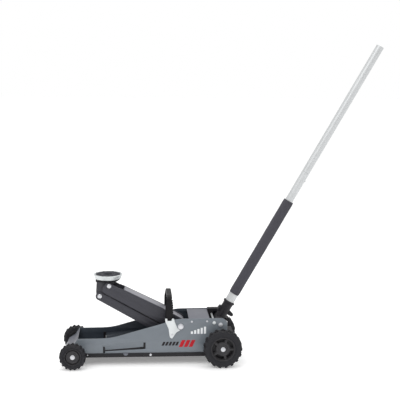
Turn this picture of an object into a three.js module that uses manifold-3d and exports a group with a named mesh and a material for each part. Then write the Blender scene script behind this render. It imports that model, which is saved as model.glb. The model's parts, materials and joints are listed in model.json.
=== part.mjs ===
// Hydraulic floor jack with off-road wheels, shown near the top of its lift.
//
// Millimetres, +Z up, +X towards the operator's end, +Y across the jack to its right-hand side.
// The whole jack is built from the front axle backwards and then shifted so that X = 0 is the
// middle of its length. Z = 0 is the floor. "Left" and "right" are the operator's.

import * as THREE from 'three';
import { mergeVertices } from 'three/addons/utils/BufferGeometryUtils.js';
import Module from 'manifold-3d';

const wasm = await Module();
wasm.setup();

// ---------------------------------------------------------------- driving dimensions

const GAP = 0.3; // between pieces that touch or are cut by each other
const LENGTH_MIDDLE = 562.65; // from the front axle to the middle of the overall length

const WHEEL_BASE = 565;
const WHEEL_FACE = 140.2; // outer face of every wheel, from the centre line
const FRONT_WHEEL = { radius: 50.2, width: 32, rim: 31.5, boss: 20, cap: 9, z: 50.2, windows: 0 };
const REAR_WHEEL = { radius: 73.3, width: 38, rim: 46, boss: 24, cap: 9, z: 73.3, windows: 5 };
const AXLE_RADIUS = 8;
const TYRE_SIDES = 28;

const PLATE_OUTER = 79; // outer face of a side plate, from the centre line
const PLATE_THICKNESS = 3.5;
const PLATE_INNER = PLATE_OUTER - PLATE_THICKNESS;

const PAN = { bottom: 30.5, sheet: 2.5, top: 47, front: -24, rear: 590 };

const ARM_PIVOT = { x: 407.1, z: 148.4 };
const ARM_LENGTH = 310.4; // arm pivot to saddle pin
const ARM_ANGLE = THREE.MathUtils.degToRad(28.9); // lift above level
const ARM_OUTER = 38.5; // outer face of an arm plate
const ARM_THICKNESS = 5;
const ARM_INNER = ARM_OUTER - ARM_THICKNESS;
const ARM_SHAFT_RADIUS = 9;
const HUB_RADIUS = 13;
const WEB_THICKNESS = 3.5;

const CRANK_RADIUS = 52; // arm pivot to crank pin
const CRANK_MIDDLE = THREE.MathUtils.degToRad(11); // arm lift at which the crank hangs plumb
const CRANK_PIN_RADIUS = 7;

const LINK_OFFSET = { x: -35.9, z: -41.1 }; // link pins, from the arm pins above them
const LINK_OUTER = 31;
const LINK_SHEET = 4;
const LINK_HALF_HEIGHT = 14;
const LINK_FRONT_RADIUS = 16;
const LINK_REAR_RADIUS = 10.5;
const LINK_PIN_RADIUS = 6;

const HEAD_PIN_RADIUS = 8;
const SADDLE = { back: -4.8, radius: 54.9, padRadius: 46.5, seatRadius: 46, top: 40.4, floor: 26.3 };

const RAM_HEIGHT = 98.5;
const RAM_RADIUS = 14;
const CYLINDER = { front: 446, rear: 515, radius: 24 };

const YOKE_PIVOT = { x: 559.5, z: 153.6 };
const HANDLE_ANGLE = THREE.MathUtils.degToRad(29.7); // lean of the handle behind plumb
const SOCKET = { start: 10, end: 84, radius: 19.5, bore: 15.5, lip: 23, sleeve: 14, reach: 71 };
const TUBE = { radius: 15, wall: 1.8, start: 32, seam: 664, end: 1217, spigot: 64 };
const FOAM = { start: 119, end: 537, radius: 20.5 };
const BUTTON = { at: 632, radius: 3.7, inner: 8, outer: 18 };

const PLUNGER = { x: 585.5, top: 146.6, radius: 6.5, head: 9 };
const BLOCK = { front: 515.3, rear: 612, top: 114, bottom: 58, half: 40 };
const TIE_ROD = { x: 535.2, z: 161.8, radius: 4 };

const BAIL = { x: 364.3, z: 160, half: 15, inner: 58, outer: 74, top: 266, foot: 148 };
const RIVET = { x: 373.7, z: 116.6 };

// ---------------------------------------------------------------- finishes

const finish = (color, roughness, metalness) =>
  new THREE.MeshStandardMaterial({ color, roughness, metalness });

const GREY_PAINT = () => finish(0x848a92, 0.45, 0.3);
const DARK_PAINT = () => finish(0x4a4b52, 0.5, 0.3);
const BLACK_PAINT = () => finish(0x26252a, 0.5, 0.2);
const ZINC = () => finish(0xd8dcdb, 0.35, 0.85);
const BRIGHT_STEEL = () => finish(0xe8e9eb, 0.25, 0.9);
const RUBBER = () => finish(0x33343a, 0.85, 0);
const HUB_PLASTIC = () => finish(0x3a393e, 0.6, 0);
const FOAM_RUBBER = () => finish(0x46454c, 0.95, 0);
const CASTING = () => finish(0x2b2a30, 0.6, 0.3);

// ---------------------------------------------------------------- solids

/** A manifold solid from a closed three.js geometry. */
function solid(geometry) {
  const bare = geometry.clone();
  bare.deleteAttribute('normal');
  bare.deleteAttribute('uv');
  const merged = mergeVertices(bare, 1e-4);
  return new wasm.Manifold(new wasm.Mesh({
    numProp: 3,
    vertProperties: new Float32Array(merged.attributes.position.array),
    triVerts: new Uint32Array(merged.index.array),
  }));
}

/** A three.js geometry from a manifold solid. */
function geometryOf(body) {
  const mesh = body.getMesh();
  const geometry = new THREE.BufferGeometry();
  geometry.setAttribute('position', new THREE.BufferAttribute(mesh.vertProperties, 3));
  geometry.setIndex(new THREE.BufferAttribute(mesh.triVerts, 1));
  geometry.computeVertexNormals();
  return geometry;
}

/** The first geometry with the others joined on. */
const join = (first, ...others) =>
  geometryOf(others.reduce((body, other) => body.add(solid(other)), solid(first)));

/** The first geometry with the others cut away. */
const cut = (first, ...others) =>
  geometryOf(others.reduce((body, other) => body.subtract(solid(other)), solid(first)));

/** An X-Z outline as a sheet lying between two Y values. */
function sheetXZ(shape, yLow, yHigh) {
  const options = { depth: yHigh - yLow, curveSegments: 8, bevelEnabled: false };
  return new THREE.ExtrudeGeometry(shape, options).rotateX(Math.PI / 2).translate(0, yHigh, 0);
}

/** A Y-Z outline as a length of section lying between two X values. */
function sectionYZ(shape, xLow, xHigh, bevel = 0) {
  const depth = xHigh - xLow - 2 * bevel;
  const options = { depth, curveSegments: 5, bevelEnabled: bevel > 0 };
  if (bevel > 0) {
    Object.assign(options, { bevelSize: bevel, bevelThickness: bevel, bevelOffset: -bevel });
    options.bevelSegments = 1;
  }
  const geometry = new THREE.ExtrudeGeometry(shape, options);
  geometry.rotateX(Math.PI / 2).rotateZ(Math.PI / 2);
  return geometry.translate(xLow + bevel, 0, 0);
}

/** A box from its lowest and highest corners. */
function block(low, high) {
  const size = high.map((value, axis) => value - low[axis]);
  const geometry = new THREE.BoxGeometry(...size);
  return geometry.translate(...low.map((value, axis) => value + size[axis] / 2));
}

/** A round bar along Y between two Y values. */
function barY(radius, yLow, yHigh, x = 0, z = 0, segments = 16) {
  const geometry = new THREE.CylinderGeometry(radius, radius, yHigh - yLow, segments);
  return geometry.translate(x, (yLow + yHigh) / 2, z);
}

/** A round bar along X between two X values. */
function barX(radius, xLow, xHigh, y = 0, z = 0, segments = 16) {
  const geometry = new THREE.CylinderGeometry(radius, radius, xHigh - xLow, segments);
  return geometry.rotateZ(-Math.PI / 2).translate((xLow + xHigh) / 2, y, z);
}

/** A round bar along Z between two Z values. */
function barZ(radius, zLow, zHigh, x = 0, y = 0, segments = 16) {
  const geometry = new THREE.CylinderGeometry(radius, radius, zHigh - zLow, segments);
  return geometry.rotateX(Math.PI / 2).translate(x, y, (zLow + zHigh) / 2);
}

/** A turned piece about the Y axis from [radius, y] pairs, given with y rising at the outside. */
const turnedY = (profile, segments) =>
  new THREE.LatheGeometry(profile.map(([radius, y]) => new THREE.Vector2(radius, y)), segments);

/** A turned piece about the Z axis from [radius, z] pairs, given with z rising at the outside. */
const turnedZ = (profile, segments) => turnedY(profile, segments).rotateX(Math.PI / 2);

/** A tube profile for a lathe, closed on itself. */
const tubeProfile = (inner, outer, low, high) =>
  [[inner, low], [outer, low], [outer, high], [inner, high], [inner, low]];

/** A closed outline from [x, y] pairs. */
function outline(points) {
  const shape = new THREE.Shape();
  points.forEach(([x, y], index) => (index ? shape.lineTo(x, y) : shape.moveTo(x, y)));
  shape.closePath();
  return shape;
}

/** Points on a circle, from one angle to another in degrees. */
function arcPoints(x, y, radius, startDegrees, endDegrees, steps) {
  const points = [];
  for (let step = 0; step <= steps; step += 1) {
    const angle = THREE.MathUtils.degToRad(startDegrees + (endDegrees - startDegrees) * step / steps);
    points.push([x + radius * Math.cos(angle), y + radius * Math.sin(angle)]);
  }
  return points;
}

// ---------------------------------------------------------------- scene graph

const jack = new THREE.Group();
jack.position.x = -LENGTH_MIDDLE;

/** Adds a named piece to a group. */
function add(group, name, geometry, material) {
  const mesh = new THREE.Mesh(geometry, material);
  mesh.name = name;
  group.add(mesh);
  return mesh;
}

const SIDES = [['left', -1], ['right', 1]];

/** The two Y values of a layer on one side, lowest first. */
const layer = (sign, inner, outer) => (sign > 0 ? [inner, outer] : [-outer, -inner]);

// ---------------------------------------------------------------- chassis

/** The front edge of a side plate, top to bottom: it steps down over the axle. */
const FRONT_EDGE = [[15, 104], [-0.8, 78.4], [-22.9, 65.6], [-39.7, 36]];

/** The outline of a side plate, in X and Z. */
function sidePlateOutline() {
  const shape = new THREE.Shape();
  const bottom = PAN.bottom + PAN.sheet + GAP;
  shape.moveTo(-37, bottom);
  [...FRONT_EDGE].reverse().forEach(([x, z]) => shape.lineTo(x, z));
  shape.lineTo(100, 104.6);
  shape.quadraticCurveTo(140, 104.8, 170, 113.3);
  shape.lineTo(340, 161);
  shape.bezierCurveTo(366, 170, 382, 178.6, 425, 178.6);
  shape.lineTo(YOKE_PIVOT.x, 179.6);
  shape.absarc(YOKE_PIVOT.x, YOKE_PIVOT.z, 26, Math.PI / 2, 0, true);
  shape.lineTo(PAN.rear, 70);
  shape.lineTo(PAN.rear, bottom);
  shape.closePath();
  return shape;
}

/** The three-sided slot round a pressed panel, and the panel itself. */
const PANEL = [[116, 50], [269, 65.5], [269.5, 86], [262, 95], [142, 86.5], [118, 82], [116, 70]];
const PANEL_SLOT = [[112, 47], [112, 71], [119.5, 71], [119.5, 57], [265.5, 71.5], [265.5, 87],
  [273.5, 87], [273.5, 62.5]];

function addSidePlates() {
  const holes = [
    [0, FRONT_WHEEL.z, AXLE_RADIUS + 0.4], [WHEEL_BASE, REAR_WHEEL.z, AXLE_RADIUS + 0.4],
    [ARM_PIVOT.x, ARM_PIVOT.z, ARM_SHAFT_RADIUS + 0.4], [YOKE_PIVOT.x, YOKE_PIVOT.z, 7.9],
    [TIE_ROD.x, TIE_ROD.z, TIE_ROD.radius + 0.4], [BAIL.x, BAIL.z, 5.4], [RIVET.x, RIVET.z, 3.4],
  ];
  for (const [side, sign] of SIDES) {
    const [low, high] = layer(sign, PLATE_INNER, PLATE_OUTER);
    const [pocketLow, pocketHigh] = layer(sign, PLATE_OUTER - 1.6, PLATE_OUTER + 1);
    add(jack, `side_plate_${side}`, cut(
      sheetXZ(sidePlateOutline(), low, high),
      sheetXZ(outline(PANEL_SLOT), low - 1, high + 1),
      sheetXZ(outline(PANEL), pocketLow, pocketHigh),
      ...holes.map(([x, z, radius]) => barY(radius, low - 1, high + 1, x, z)),
    ), GREY_PAINT());
  }
}

function addSkidPan() {
  const flange = PLATE_OUTER + GAP;
  const outer = flange + PAN.sheet;
  const floor = PAN.bottom + PAN.sheet;
  const section = outline([
    [-outer, PAN.top], [-outer, PAN.bottom], [outer, PAN.bottom], [outer, PAN.top],
    [flange, PAN.top], [flange, floor], [-flange, floor], [-flange, PAN.top],
  ]);
  add(jack, 'skid_pan', cut(
    sectionYZ(section, PAN.front, PAN.rear),
    barY(AXLE_RADIUS + 0.6, -outer - 1, outer + 1, 0, FRONT_WHEEL.z),
  ), BLACK_PAINT());
}

function addFrontCrossPlate() {
  const inner = [[17.5, 102], [1.6, 75.9], [-20.6, 63.1], [-36.2, 35.5]];
  const section = outline([...FRONT_EDGE.map(([x, z]) => [x, z - 1]), ...[...inner].reverse()]);
  const half = PLATE_INNER - GAP;
  add(jack, 'front_cross_plate', sheetXZ(section, -half, half), GREY_PAINT());
}

function addTopCover() {
  const outer = PLATE_INNER - GAP;
  const inner = outer - 2.5;
  const top = 177.8;
  const section = new THREE.Shape();
  section.moveTo(-outer, 160);
  section.lineTo(-outer, top - 4);
  section.absarc(-outer + 4, top - 4, 4, Math.PI, Math.PI / 2, true);
  section.absarc(outer - 4, top - 4, 4, Math.PI / 2, 0, true);
  section.lineTo(outer, 160);
  section.lineTo(inner, 160);
  section.lineTo(inner, top - 2.5);
  section.lineTo(-inner, top - 2.5);
  section.lineTo(-inner, 160);
  section.closePath();
  add(jack, 'top_cover', sectionYZ(section, 438, 518), GREY_PAINT());
}

/** A hexagon bolt head or nut along Y, with the washer face towards the plate. */
function hexHead(sign, radius, thickness, x, z) {
  const washer = PLATE_OUTER + GAP;
  const flange = barY(radius * 1.12, ...layer(sign, washer, washer + 1.5), x, z);
  const hex = barY(radius, ...layer(sign, washer + 1.2, washer + 1.5 + thickness), x, z, 6);
  return [flange, hex];
}

function addChassisFasteners() {
  const spacerEnd = PLATE_INNER - GAP;
  const armBolt = barY(ARM_SHAFT_RADIUS, -PLATE_OUTER - 1, PLATE_OUTER, ARM_PIVOT.x, ARM_PIVOT.z);
  add(jack, 'arm_pivot_bolt', join(armBolt, ...hexHead(-1, 9.8, 5, ARM_PIVOT.x, ARM_PIVOT.z)),
    BRIGHT_STEEL());
  add(jack, 'arm_pivot_nut', join(...hexHead(1, 9.8, 5, ARM_PIVOT.x, ARM_PIVOT.z)), BRIGHT_STEEL());
  const rod = barY(TIE_ROD.radius, -PLATE_OUTER - 1, PLATE_OUTER, TIE_ROD.x, TIE_ROD.z, 12);
  add(jack, 'tie_rod', join(rod, ...hexHead(-1, 6, 3, TIE_ROD.x, TIE_ROD.z)), ZINC());
  add(jack, 'tie_rod_nut', join(...hexHead(1, 6, 3, TIE_ROD.x, TIE_ROD.z)), ZINC());
  for (const [side, sign] of SIDES) {
    const spacer = turnedY(tubeProfile(ARM_SHAFT_RADIUS + 0.4, 14, ...layer(sign, 39, spacerEnd)), 16);
    spacer.translate(ARM_PIVOT.x, 0, ARM_PIVOT.z);
    add(jack, `arm_spacer_${side}`, spacer, BLACK_PAINT());
    const shank = barY(7.5, ...layer(sign, 52, PLATE_OUTER + 1), YOKE_PIVOT.x, YOKE_PIVOT.z);
    add(jack, `yoke_bolt_${side}`,
      join(shank, ...hexHead(sign, 9, 4.5, YOKE_PIVOT.x, YOKE_PIVOT.z)), BRIGHT_STEEL());
  }
}

function addLinkAnchor() {
  const x = ARM_PIVOT.x + LINK_OFFSET.x;
  const z = ARM_PIVOT.z + LINK_OFFSET.z;
  const floor = PAN.bottom + PAN.sheet + GAP;
  const lug = new THREE.Shape();
  lug.moveTo(x - 9, floor);
  lug.lineTo(x + 8, floor);
  lug.lineTo(x + 8, z - 4);
  lug.absarc(x, z, 9, -Math.PI / 6, Math.PI, false);
  lug.closePath();
  const base = block([x - 16, -30, floor], [x + 17, 30, floor + 4.5]);
  const anchor = join(base, ...SIDES.map(([, sign]) => sheetXZ(lug, ...layer(sign, 20, 26))));
  add(jack, 'link_anchor', cut(anchor, barY(LINK_PIN_RADIUS + 0.4, -40, 40, x, z, 14)),
    BLACK_PAINT());
  add(jack, 'link_rear_pin', barY(LINK_PIN_RADIUS, -32.5, 32.5, x, z, 14), BRIGHT_STEEL());
}

function addHydraulics() {
  const { front, rear, radius } = CYLINDER;
  const barrel = turnedY([
    [RAM_RADIUS + 0.6, front], [radius, front], [radius, rear], [0, rear], [0, rear - 4],
    [RAM_RADIUS + 0.6, rear - 4], [RAM_RADIUS + 0.6, front],
  ], 20);
  barrel.rotateZ(-Math.PI / 2).translate(0, 0, RAM_HEIGHT);
  add(jack, 'hydraulic_cylinder', barrel, CASTING());

  const tank = new THREE.Shape();
  tank.moveTo(-42, 126);
  tank.lineTo(42, 126);
  tank.absarc(42, 134, 8, -Math.PI / 2, 0, false);
  tank.absarc(42, 162, 8, 0, Math.PI / 2, false);
  tank.absarc(-42, 162, 8, Math.PI / 2, Math.PI, false);
  tank.absarc(-42, 134, 8, Math.PI, Math.PI * 1.5, false);
  add(jack, 'oil_reservoir', sectionYZ(tank, front, rear - 1), CASTING());

  const wing = PLATE_INNER - GAP;
  const body = join(
    block([BLOCK.front, -BLOCK.half, BLOCK.bottom], [BLOCK.rear, BLOCK.half, BLOCK.top]),
    block([520, -wing, BLOCK.bottom + 6], [541, wing, BLOCK.top]),
    block([520, 50, BLOCK.top - 1], [541, wing, 184]),
    block([520, 50, 174], [562, wing, 184]),
  );
  add(jack, 'pump_block', cut(
    body,
    barY(AXLE_RADIUS + 0.6, -wing - 1, wing + 1, WHEEL_BASE, REAR_WHEEL.z),
    barZ(PLUNGER.radius + 0.4, 66, BLOCK.top + 1, PLUNGER.x, 0),
    barY(TIE_ROD.radius + 0.4, 40, wing + 1, TIE_ROD.x, TIE_ROD.z, 12),
    barX(4.5, 590, BLOCK.rear + 1, -22, 96, 12),
  ), CASTING());
}

// ---------------------------------------------------------------- wheels

/**
 * A tyre about the Y axis, its outer face at y = 0 and its inner face at y = -width. Its sides are
 * flats as far from the axle as the real round tread, so that the jack stands on one of them.
 */
function tyreGeometry({ radius, width, rim }) {
  const inner = rim + GAP;
  const profile = [
    [inner, -width + 3], [radius - 9, -width], [radius - 2, -width + 3], [radius, -width + 7],
    [radius, -7], [radius - 2, -3], [radius - 9, 0], [inner, -3], [inner, -width + 3],
  ];
  const halfSide = Math.PI / TYRE_SIDES;
  const toCorner = 1 / Math.cos(halfSide);
  const points = profile.map(([distance, y]) => new THREE.Vector2(distance * toCorner, y));
  return new THREE.LatheGeometry(points, TYRE_SIDES, halfSide);
}

/** A wheel centre about the Y axis, dished inside the tyre, with windows between its spokes. */
function hubGeometry({ width, rim, boss, windows }) {
  const bore = AXLE_RADIUS + 0.5;
  const face = -6; // the hub's outer face, set in from the tyre's
  const hub = turnedY([
    [bore, -width + 2], [boss - 4, -width + 2], [boss - 4, -width / 2 - 5], [rim - 4, -width / 2 - 5],
    [rim - 4, -width + 4], [rim, -width + 4], [rim, -4], [rim - 4, -4], [rim - 5, -9], [boss, -9],
    [boss - 2, face], [bore, face], [bore, -width + 2],
  ], 12);
  if (!windows) return hub;
  const cutters = [];
  for (let index = 0; index < windows; index += 1) {
    const middle = 36 + (360 / windows) * index;
    const opening = outline([
      ...arcPoints(0, 0, rim - 6, middle - 27, middle + 27, 3),
      ...arcPoints(0, 0, boss + 2.5, middle + 23, middle - 23, 2),
    ]);
    cutters.push(sheetXZ(opening, -width, 1));
  }
  return cut(hub, ...cutters);
}

function addWheelsAndAxles() {
  const axles = [['front', 0, FRONT_WHEEL], ['rear', WHEEL_BASE, REAR_WHEEL]];
  for (const [end, x, wheel] of axles) {
    const reach = WHEEL_FACE - 4;
    add(jack, `${end}_axle`, barY(AXLE_RADIUS, -reach, reach, x, wheel.z), ZINC());
    for (const [side, sign] of SIDES) {
      const station = new THREE.Group();
      station.position.set(x, sign * WHEEL_FACE, wheel.z);
      station.rotation.z = sign > 0 ? 0 : Math.PI;
      jack.add(station);
      add(station, `${end}_tyre_${side}`, tyreGeometry(wheel), RUBBER());
      add(station, `${end}_hub_${side}`, hubGeometry(wheel), HUB_PLASTIC());
      const cap = turnedY([
        [0, -4 + GAP], [wheel.cap, -4 + GAP], [wheel.cap, -2.2], [wheel.cap * 0.7, -0.6], [0, 0],
      ], 14);
      add(station, `${end}_axle_cap_${side}`, cap, BRIGHT_STEEL());
    }
  }
}

// ---------------------------------------------------------------- lift arm

const arm = new THREE.Group();
arm.position.set(ARM_PIVOT.x, 0, ARM_PIVOT.z);
arm.rotation.y = ARM_ANGLE;
jack.add(arm);

/** The crank pin in the arm's own frame, whose X axis runs along the arm. */
const CRANK_PIN = {
  x: CRANK_RADIUS * Math.sin(CRANK_MIDDLE),
  z: -CRANK_RADIUS * Math.cos(CRANK_MIDDLE),
};

/** The outline of an arm plate: a deep bar with a blunt nose and a crank below its pivot. */
function armPlateOutline() {
  const nose = -ARM_LENGTH;
  const shape = new THREE.Shape();
  shape.moveTo(-90, 20.5);
  shape.lineTo(-262, 11.6);
  shape.lineTo(nose - 4, 11);
  shape.quadraticCurveTo(nose - 17, 9, nose - 18, -8);
  shape.quadraticCurveTo(nose - 19, -31, nose - 4, -33);
  shape.lineTo(-70, -35);
  shape.quadraticCurveTo(-30, -37, CRANK_PIN.x - 12, CRANK_PIN.z);
  shape.absarc(CRANK_PIN.x, CRANK_PIN.z, 12, Math.PI, Math.PI * 2, false);
  shape.lineTo(16, -14);
  shape.absarc(0, 2.5, 18, -0.4, Math.PI / 2, false);
  shape.closePath();
  return shape;
}

/** The top web: it lies just under the plates' top edges and curls down behind the pivot. */
function armWebOutline() {
  const outer = HUB_RADIUS + GAP + WEB_THICKNESS;
  const curl = arcPoints(0, 0, outer, 90, 12, 5);
  const curlBack = arcPoints(0, 0, HUB_RADIUS + GAP, 12, 90, 5);
  return outline([
    [-253, 8], [-90, outer], ...curl, ...curlBack, [-90, outer - WEB_THICKNESS],
    [-253, 8 - WEB_THICKNESS],
  ]);
}

function addLiftArm() {
  for (const [side, sign] of SIDES) {
    const [low, high] = layer(sign, ARM_INNER, ARM_OUTER);
    add(arm, `arm_plate_${side}`, cut(
      sheetXZ(armPlateOutline(), low, high),
      barY(ARM_SHAFT_RADIUS + 0.5, low - 1, high + 1),
      barY(HEAD_PIN_RADIUS + 0.4, low - 1, high + 1, -ARM_LENGTH, 0),
      barY(CRANK_PIN_RADIUS - 1.6, low - 1, high + 1, CRANK_PIN.x, CRANK_PIN.z, 14),
    ), DARK_PAINT());
  }
  const half = ARM_INNER - GAP;
  add(arm, 'arm_web', cut(
    sheetXZ(armWebOutline(), -half, half),
    barZ(4.5, 5, 30, -30, 0, 12),
  ), GREY_PAINT());
  add(arm, 'arm_hub', turnedY(tubeProfile(ARM_SHAFT_RADIUS + 0.5, HUB_RADIUS, -half, half), 20),
    DARK_PAINT());
  const pin = CRANK_PIN;
  add(arm, 'crank_pin', join(
    barY(CRANK_PIN_RADIUS, -half, half, pin.x, pin.z, 14),
    barY(CRANK_PIN_RADIUS - 2, -ARM_OUTER - 2, ARM_OUTER + 2, pin.x, pin.z, 14),
  ), BRIGHT_STEEL());
  const head = (sign) => barY(8.8, ...layer(sign, ARM_OUTER + GAP, ARM_OUTER + 4), -ARM_LENGTH, 0);
  add(arm, 'head_pin', join(
    barY(HEAD_PIN_RADIUS, -ARM_OUTER - 1, ARM_OUTER + 1, -ARM_LENGTH, 0), head(-1), head(1),
  ), BRIGHT_STEEL());
}

// ---------------------------------------------------------------- levelling link

/** The link in the arm's own frame, set off from the arm by the same step at both ends. */
function addLevellingLink() {
  const link = new THREE.Group();
  link.position.set(ARM_PIVOT.x + LINK_OFFSET.x, 0, ARM_PIVOT.z + LINK_OFFSET.z);
  link.rotation.y = ARM_ANGLE;
  jack.add(link);
  const bar = new THREE.Shape();
  bar.moveTo(-28, LINK_HALF_HEIGHT);
  bar.lineTo(-ARM_LENGTH, LINK_HALF_HEIGHT);
  bar.absarc(-ARM_LENGTH, 0, LINK_FRONT_RADIUS, Math.PI * 0.62, Math.PI * 1.38, false);
  bar.lineTo(-ARM_LENGTH, -LINK_HALF_HEIGHT);
  bar.lineTo(-28, -LINK_HALF_HEIGHT);
  bar.absarc(0, 0, LINK_REAR_RADIUS, -Math.PI * 0.56, Math.PI * 0.56, false);
  bar.closePath();
  const bars = SIDES.map(([, sign]) =>
    sheetXZ(bar, ...layer(sign, LINK_OUTER - LINK_SHEET, LINK_OUTER)));
  const web = block([-ARM_LENGTH + 52, -LINK_OUTER + 1, -LINK_HALF_HEIGHT + 0.8],
    [-60, LINK_OUTER - 1, -LINK_HALF_HEIGHT + 4]);
  add(link, 'levelling_link', cut(
    join(web, ...bars),
    barY(LINK_PIN_RADIUS + 0.5, -40, 40, 0, 0, 14),
    barY(LINK_PIN_RADIUS + 0.7, -40, 40, -ARM_LENGTH, 0, 14),
  ), DARK_PAINT());
}

// ---------------------------------------------------------------- saddle

/** The saddle and its bracket stay level, so they stand upright at the arm's nose. */
function addSaddle() {
  const head = new THREE.Group();
  head.position.set(
    ARM_PIVOT.x - ARM_LENGTH * Math.cos(ARM_ANGLE), 0,
    ARM_PIVOT.z + ARM_LENGTH * Math.sin(ARM_ANGLE),
  );
  jack.add(head);
  const cheek = new THREE.Shape();
  cheek.moveTo(-48, 14);
  cheek.lineTo(-50, -24);
  cheek.absarc(LINK_OFFSET.x, LINK_OFFSET.z, 13, Math.PI * 0.95, Math.PI * 1.8, false);
  cheek.absarc(0, 0, 15, -Math.PI * 0.2, Math.PI * 0.1, false);
  cheek.lineTo(22, 14);
  cheek.closePath();
  const seatTop = SADDLE.floor - GAP;
  const centre = SADDLE.back;
  const blockLayer = cut(
    turnedZ([[0, 13], [SADDLE.seatRadius, 13], [SADDLE.seatRadius, 23.4], [0, 23.4]], 28)
      .translate(centre, 0, 0),
    block([-80, 31, 0], [80, 80, 40]), block([-80, -80, 0], [80, -31, 40]),
  );
  const seat = turnedZ(
    [[0, 23], [SADDLE.seatRadius, 23], [SADDLE.seatRadius, seatTop], [0, seatTop]], 40,
  ).translate(centre, 0, 0);
  const cheeks = SIDES.map(([, sign]) => sheetXZ(cheek, ...layer(sign, 20, 25.5)));
  add(head, 'saddle_bracket', cut(
    join(seat, blockLayer, ...cheeks),
    barY(HEAD_PIN_RADIUS + 0.5, -40, 40),
    barY(LINK_PIN_RADIUS + 0.4, -40, 40, LINK_OFFSET.x, LINK_OFFSET.z, 14),
    barZ(12.6, 5, 40, centre, 0),
  ), BLACK_PAINT());
  const pinHead = (sign) =>
    barY(8.8, ...layer(sign, LINK_OUTER + GAP, LINK_OUTER + 4), LINK_OFFSET.x, LINK_OFFSET.z);
  add(head, 'link_front_pin', join(
    barY(LINK_PIN_RADIUS, -LINK_OUTER - 1, LINK_OUTER + 1, LINK_OFFSET.x, LINK_OFFSET.z, 14),
    pinHead(-1), pinHead(1),
  ), BRIGHT_STEEL());

  const { radius, padRadius, top, floor } = SADDLE;
  const cup = turnedZ([
    [0, 12.4], [12, 12.4], [12, floor], [radius - 2, floor], [radius, floor + 3], [radius, top - 2],
    [radius - 2, top - 0.4], [padRadius + 0.8, top - 0.4], [padRadius + 0.8, floor + 4],
    [0, floor + 4],
  ], 30).translate(centre, 0, 0);
  add(head, 'saddle_cup', cup, ZINC());
  const pad = turnedZ([
    [0, floor + 4 + GAP], [padRadius, floor + 4 + GAP], [padRadius, top - 1.5],
    [padRadius - 2, top], [0, top],
  ], 30).translate(centre, 0, 0);
  add(head, 'saddle_pad', pad, RUBBER());
}

// ---------------------------------------------------------------- ram

/** The ram: a polished rod whose eye takes the crank pin with room to rise and fall. */
function addRam() {
  const rest = ARM_ANGLE - CRANK_MIDDLE;
  const pinX = ARM_PIVOT.x - CRANK_RADIUS * Math.sin(rest);
  const pinLow = ARM_PIVOT.z - CRANK_RADIUS;
  const pinHigh = pinLow + CRANK_RADIUS * (1 - Math.cos(rest + 0.08));
  const slack = CRANK_PIN_RADIUS + 0.7;
  const slot = new THREE.Shape();
  slot.absarc(pinX, pinLow, slack, Math.PI, Math.PI * 2, false);
  slot.absarc(pinX, pinHigh, slack, 0, Math.PI, false);
  slot.closePath();
  const eye = block([pinX - 11, -12, RAM_HEIGHT - 13.5], [pinX + 14, 12, RAM_HEIGHT + 13.5]);
  const rod = barX(RAM_RADIUS, pinX + 13, pinX + 83, 0, RAM_HEIGHT, 20);
  add(jack, 'ram', cut(join(eye, rod), sheetXZ(slot, -20, 20)), BRIGHT_STEEL());
}

// ---------------------------------------------------------------- handle and pump

/** The handle's own frame: Z runs up the handle from the yoke pivot, X points behind it. */
const handle = new THREE.Group();
handle.position.set(YOKE_PIVOT.x, 0, YOKE_PIVOT.z);
handle.rotation.y = HANDLE_ANGLE;
jack.add(handle);

function addHandleSocket() {
  const { start, end, radius, bore, lip, sleeve, reach } = SOCKET;
  const noseX = 26 * Math.cos(HANDLE_ANGLE) - 2 * Math.sin(HANDLE_ANGLE);
  const noseZ = 26 * Math.sin(HANDLE_ANGLE) + 2 * Math.cos(HANDLE_ANGLE);
  const noseArm = outline([[0, 7], [0, -5], [noseX, noseZ - 5], [noseX, noseZ + 7]]);
  const body = join(
    turnedZ([
      [0, start], [radius, start], [radius, end - 9], [lip, end - 6], [lip, end - 1],
      [lip - 1, end], [0, end],
    ], 24),
    barY(sleeve, -reach, reach),
    block([-27, -9, 30], [-12, 9, 52]),
    block([12, -7, 34], [41, 7, 46]),
    block([-13, -30, 2], [13, 30, 18]),
    sheetXZ(noseArm, -9, 9),
    barY(8, -9, 9, noseX, noseZ),
  );
  add(handle, 'handle_socket', cut(
    body,
    turnedZ([[0, TUBE.start - 2], [bore, TUBE.start - 2], [bore, end + 1], [0, end + 1]], 24),
    barY(8, -reach - 1, -46), barY(8, 46, reach + 1),
    barY(3.5, -12, 12, -22, 41, 12),
    block([-30, -1.2, 28], [-10, 1.2, 54]),
  ), CASTING());
  const bolt = [
    barY(3.1, -13, 13, -22, 41, 12),
    barY(5.4, -14, -9 - GAP, -22, 41, 6),
    barY(5.4, 9 + GAP, 14, -22, 41, 6),
  ];
  add(handle, 'clamp_bolt', join(...bolt), ZINC());
}

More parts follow.
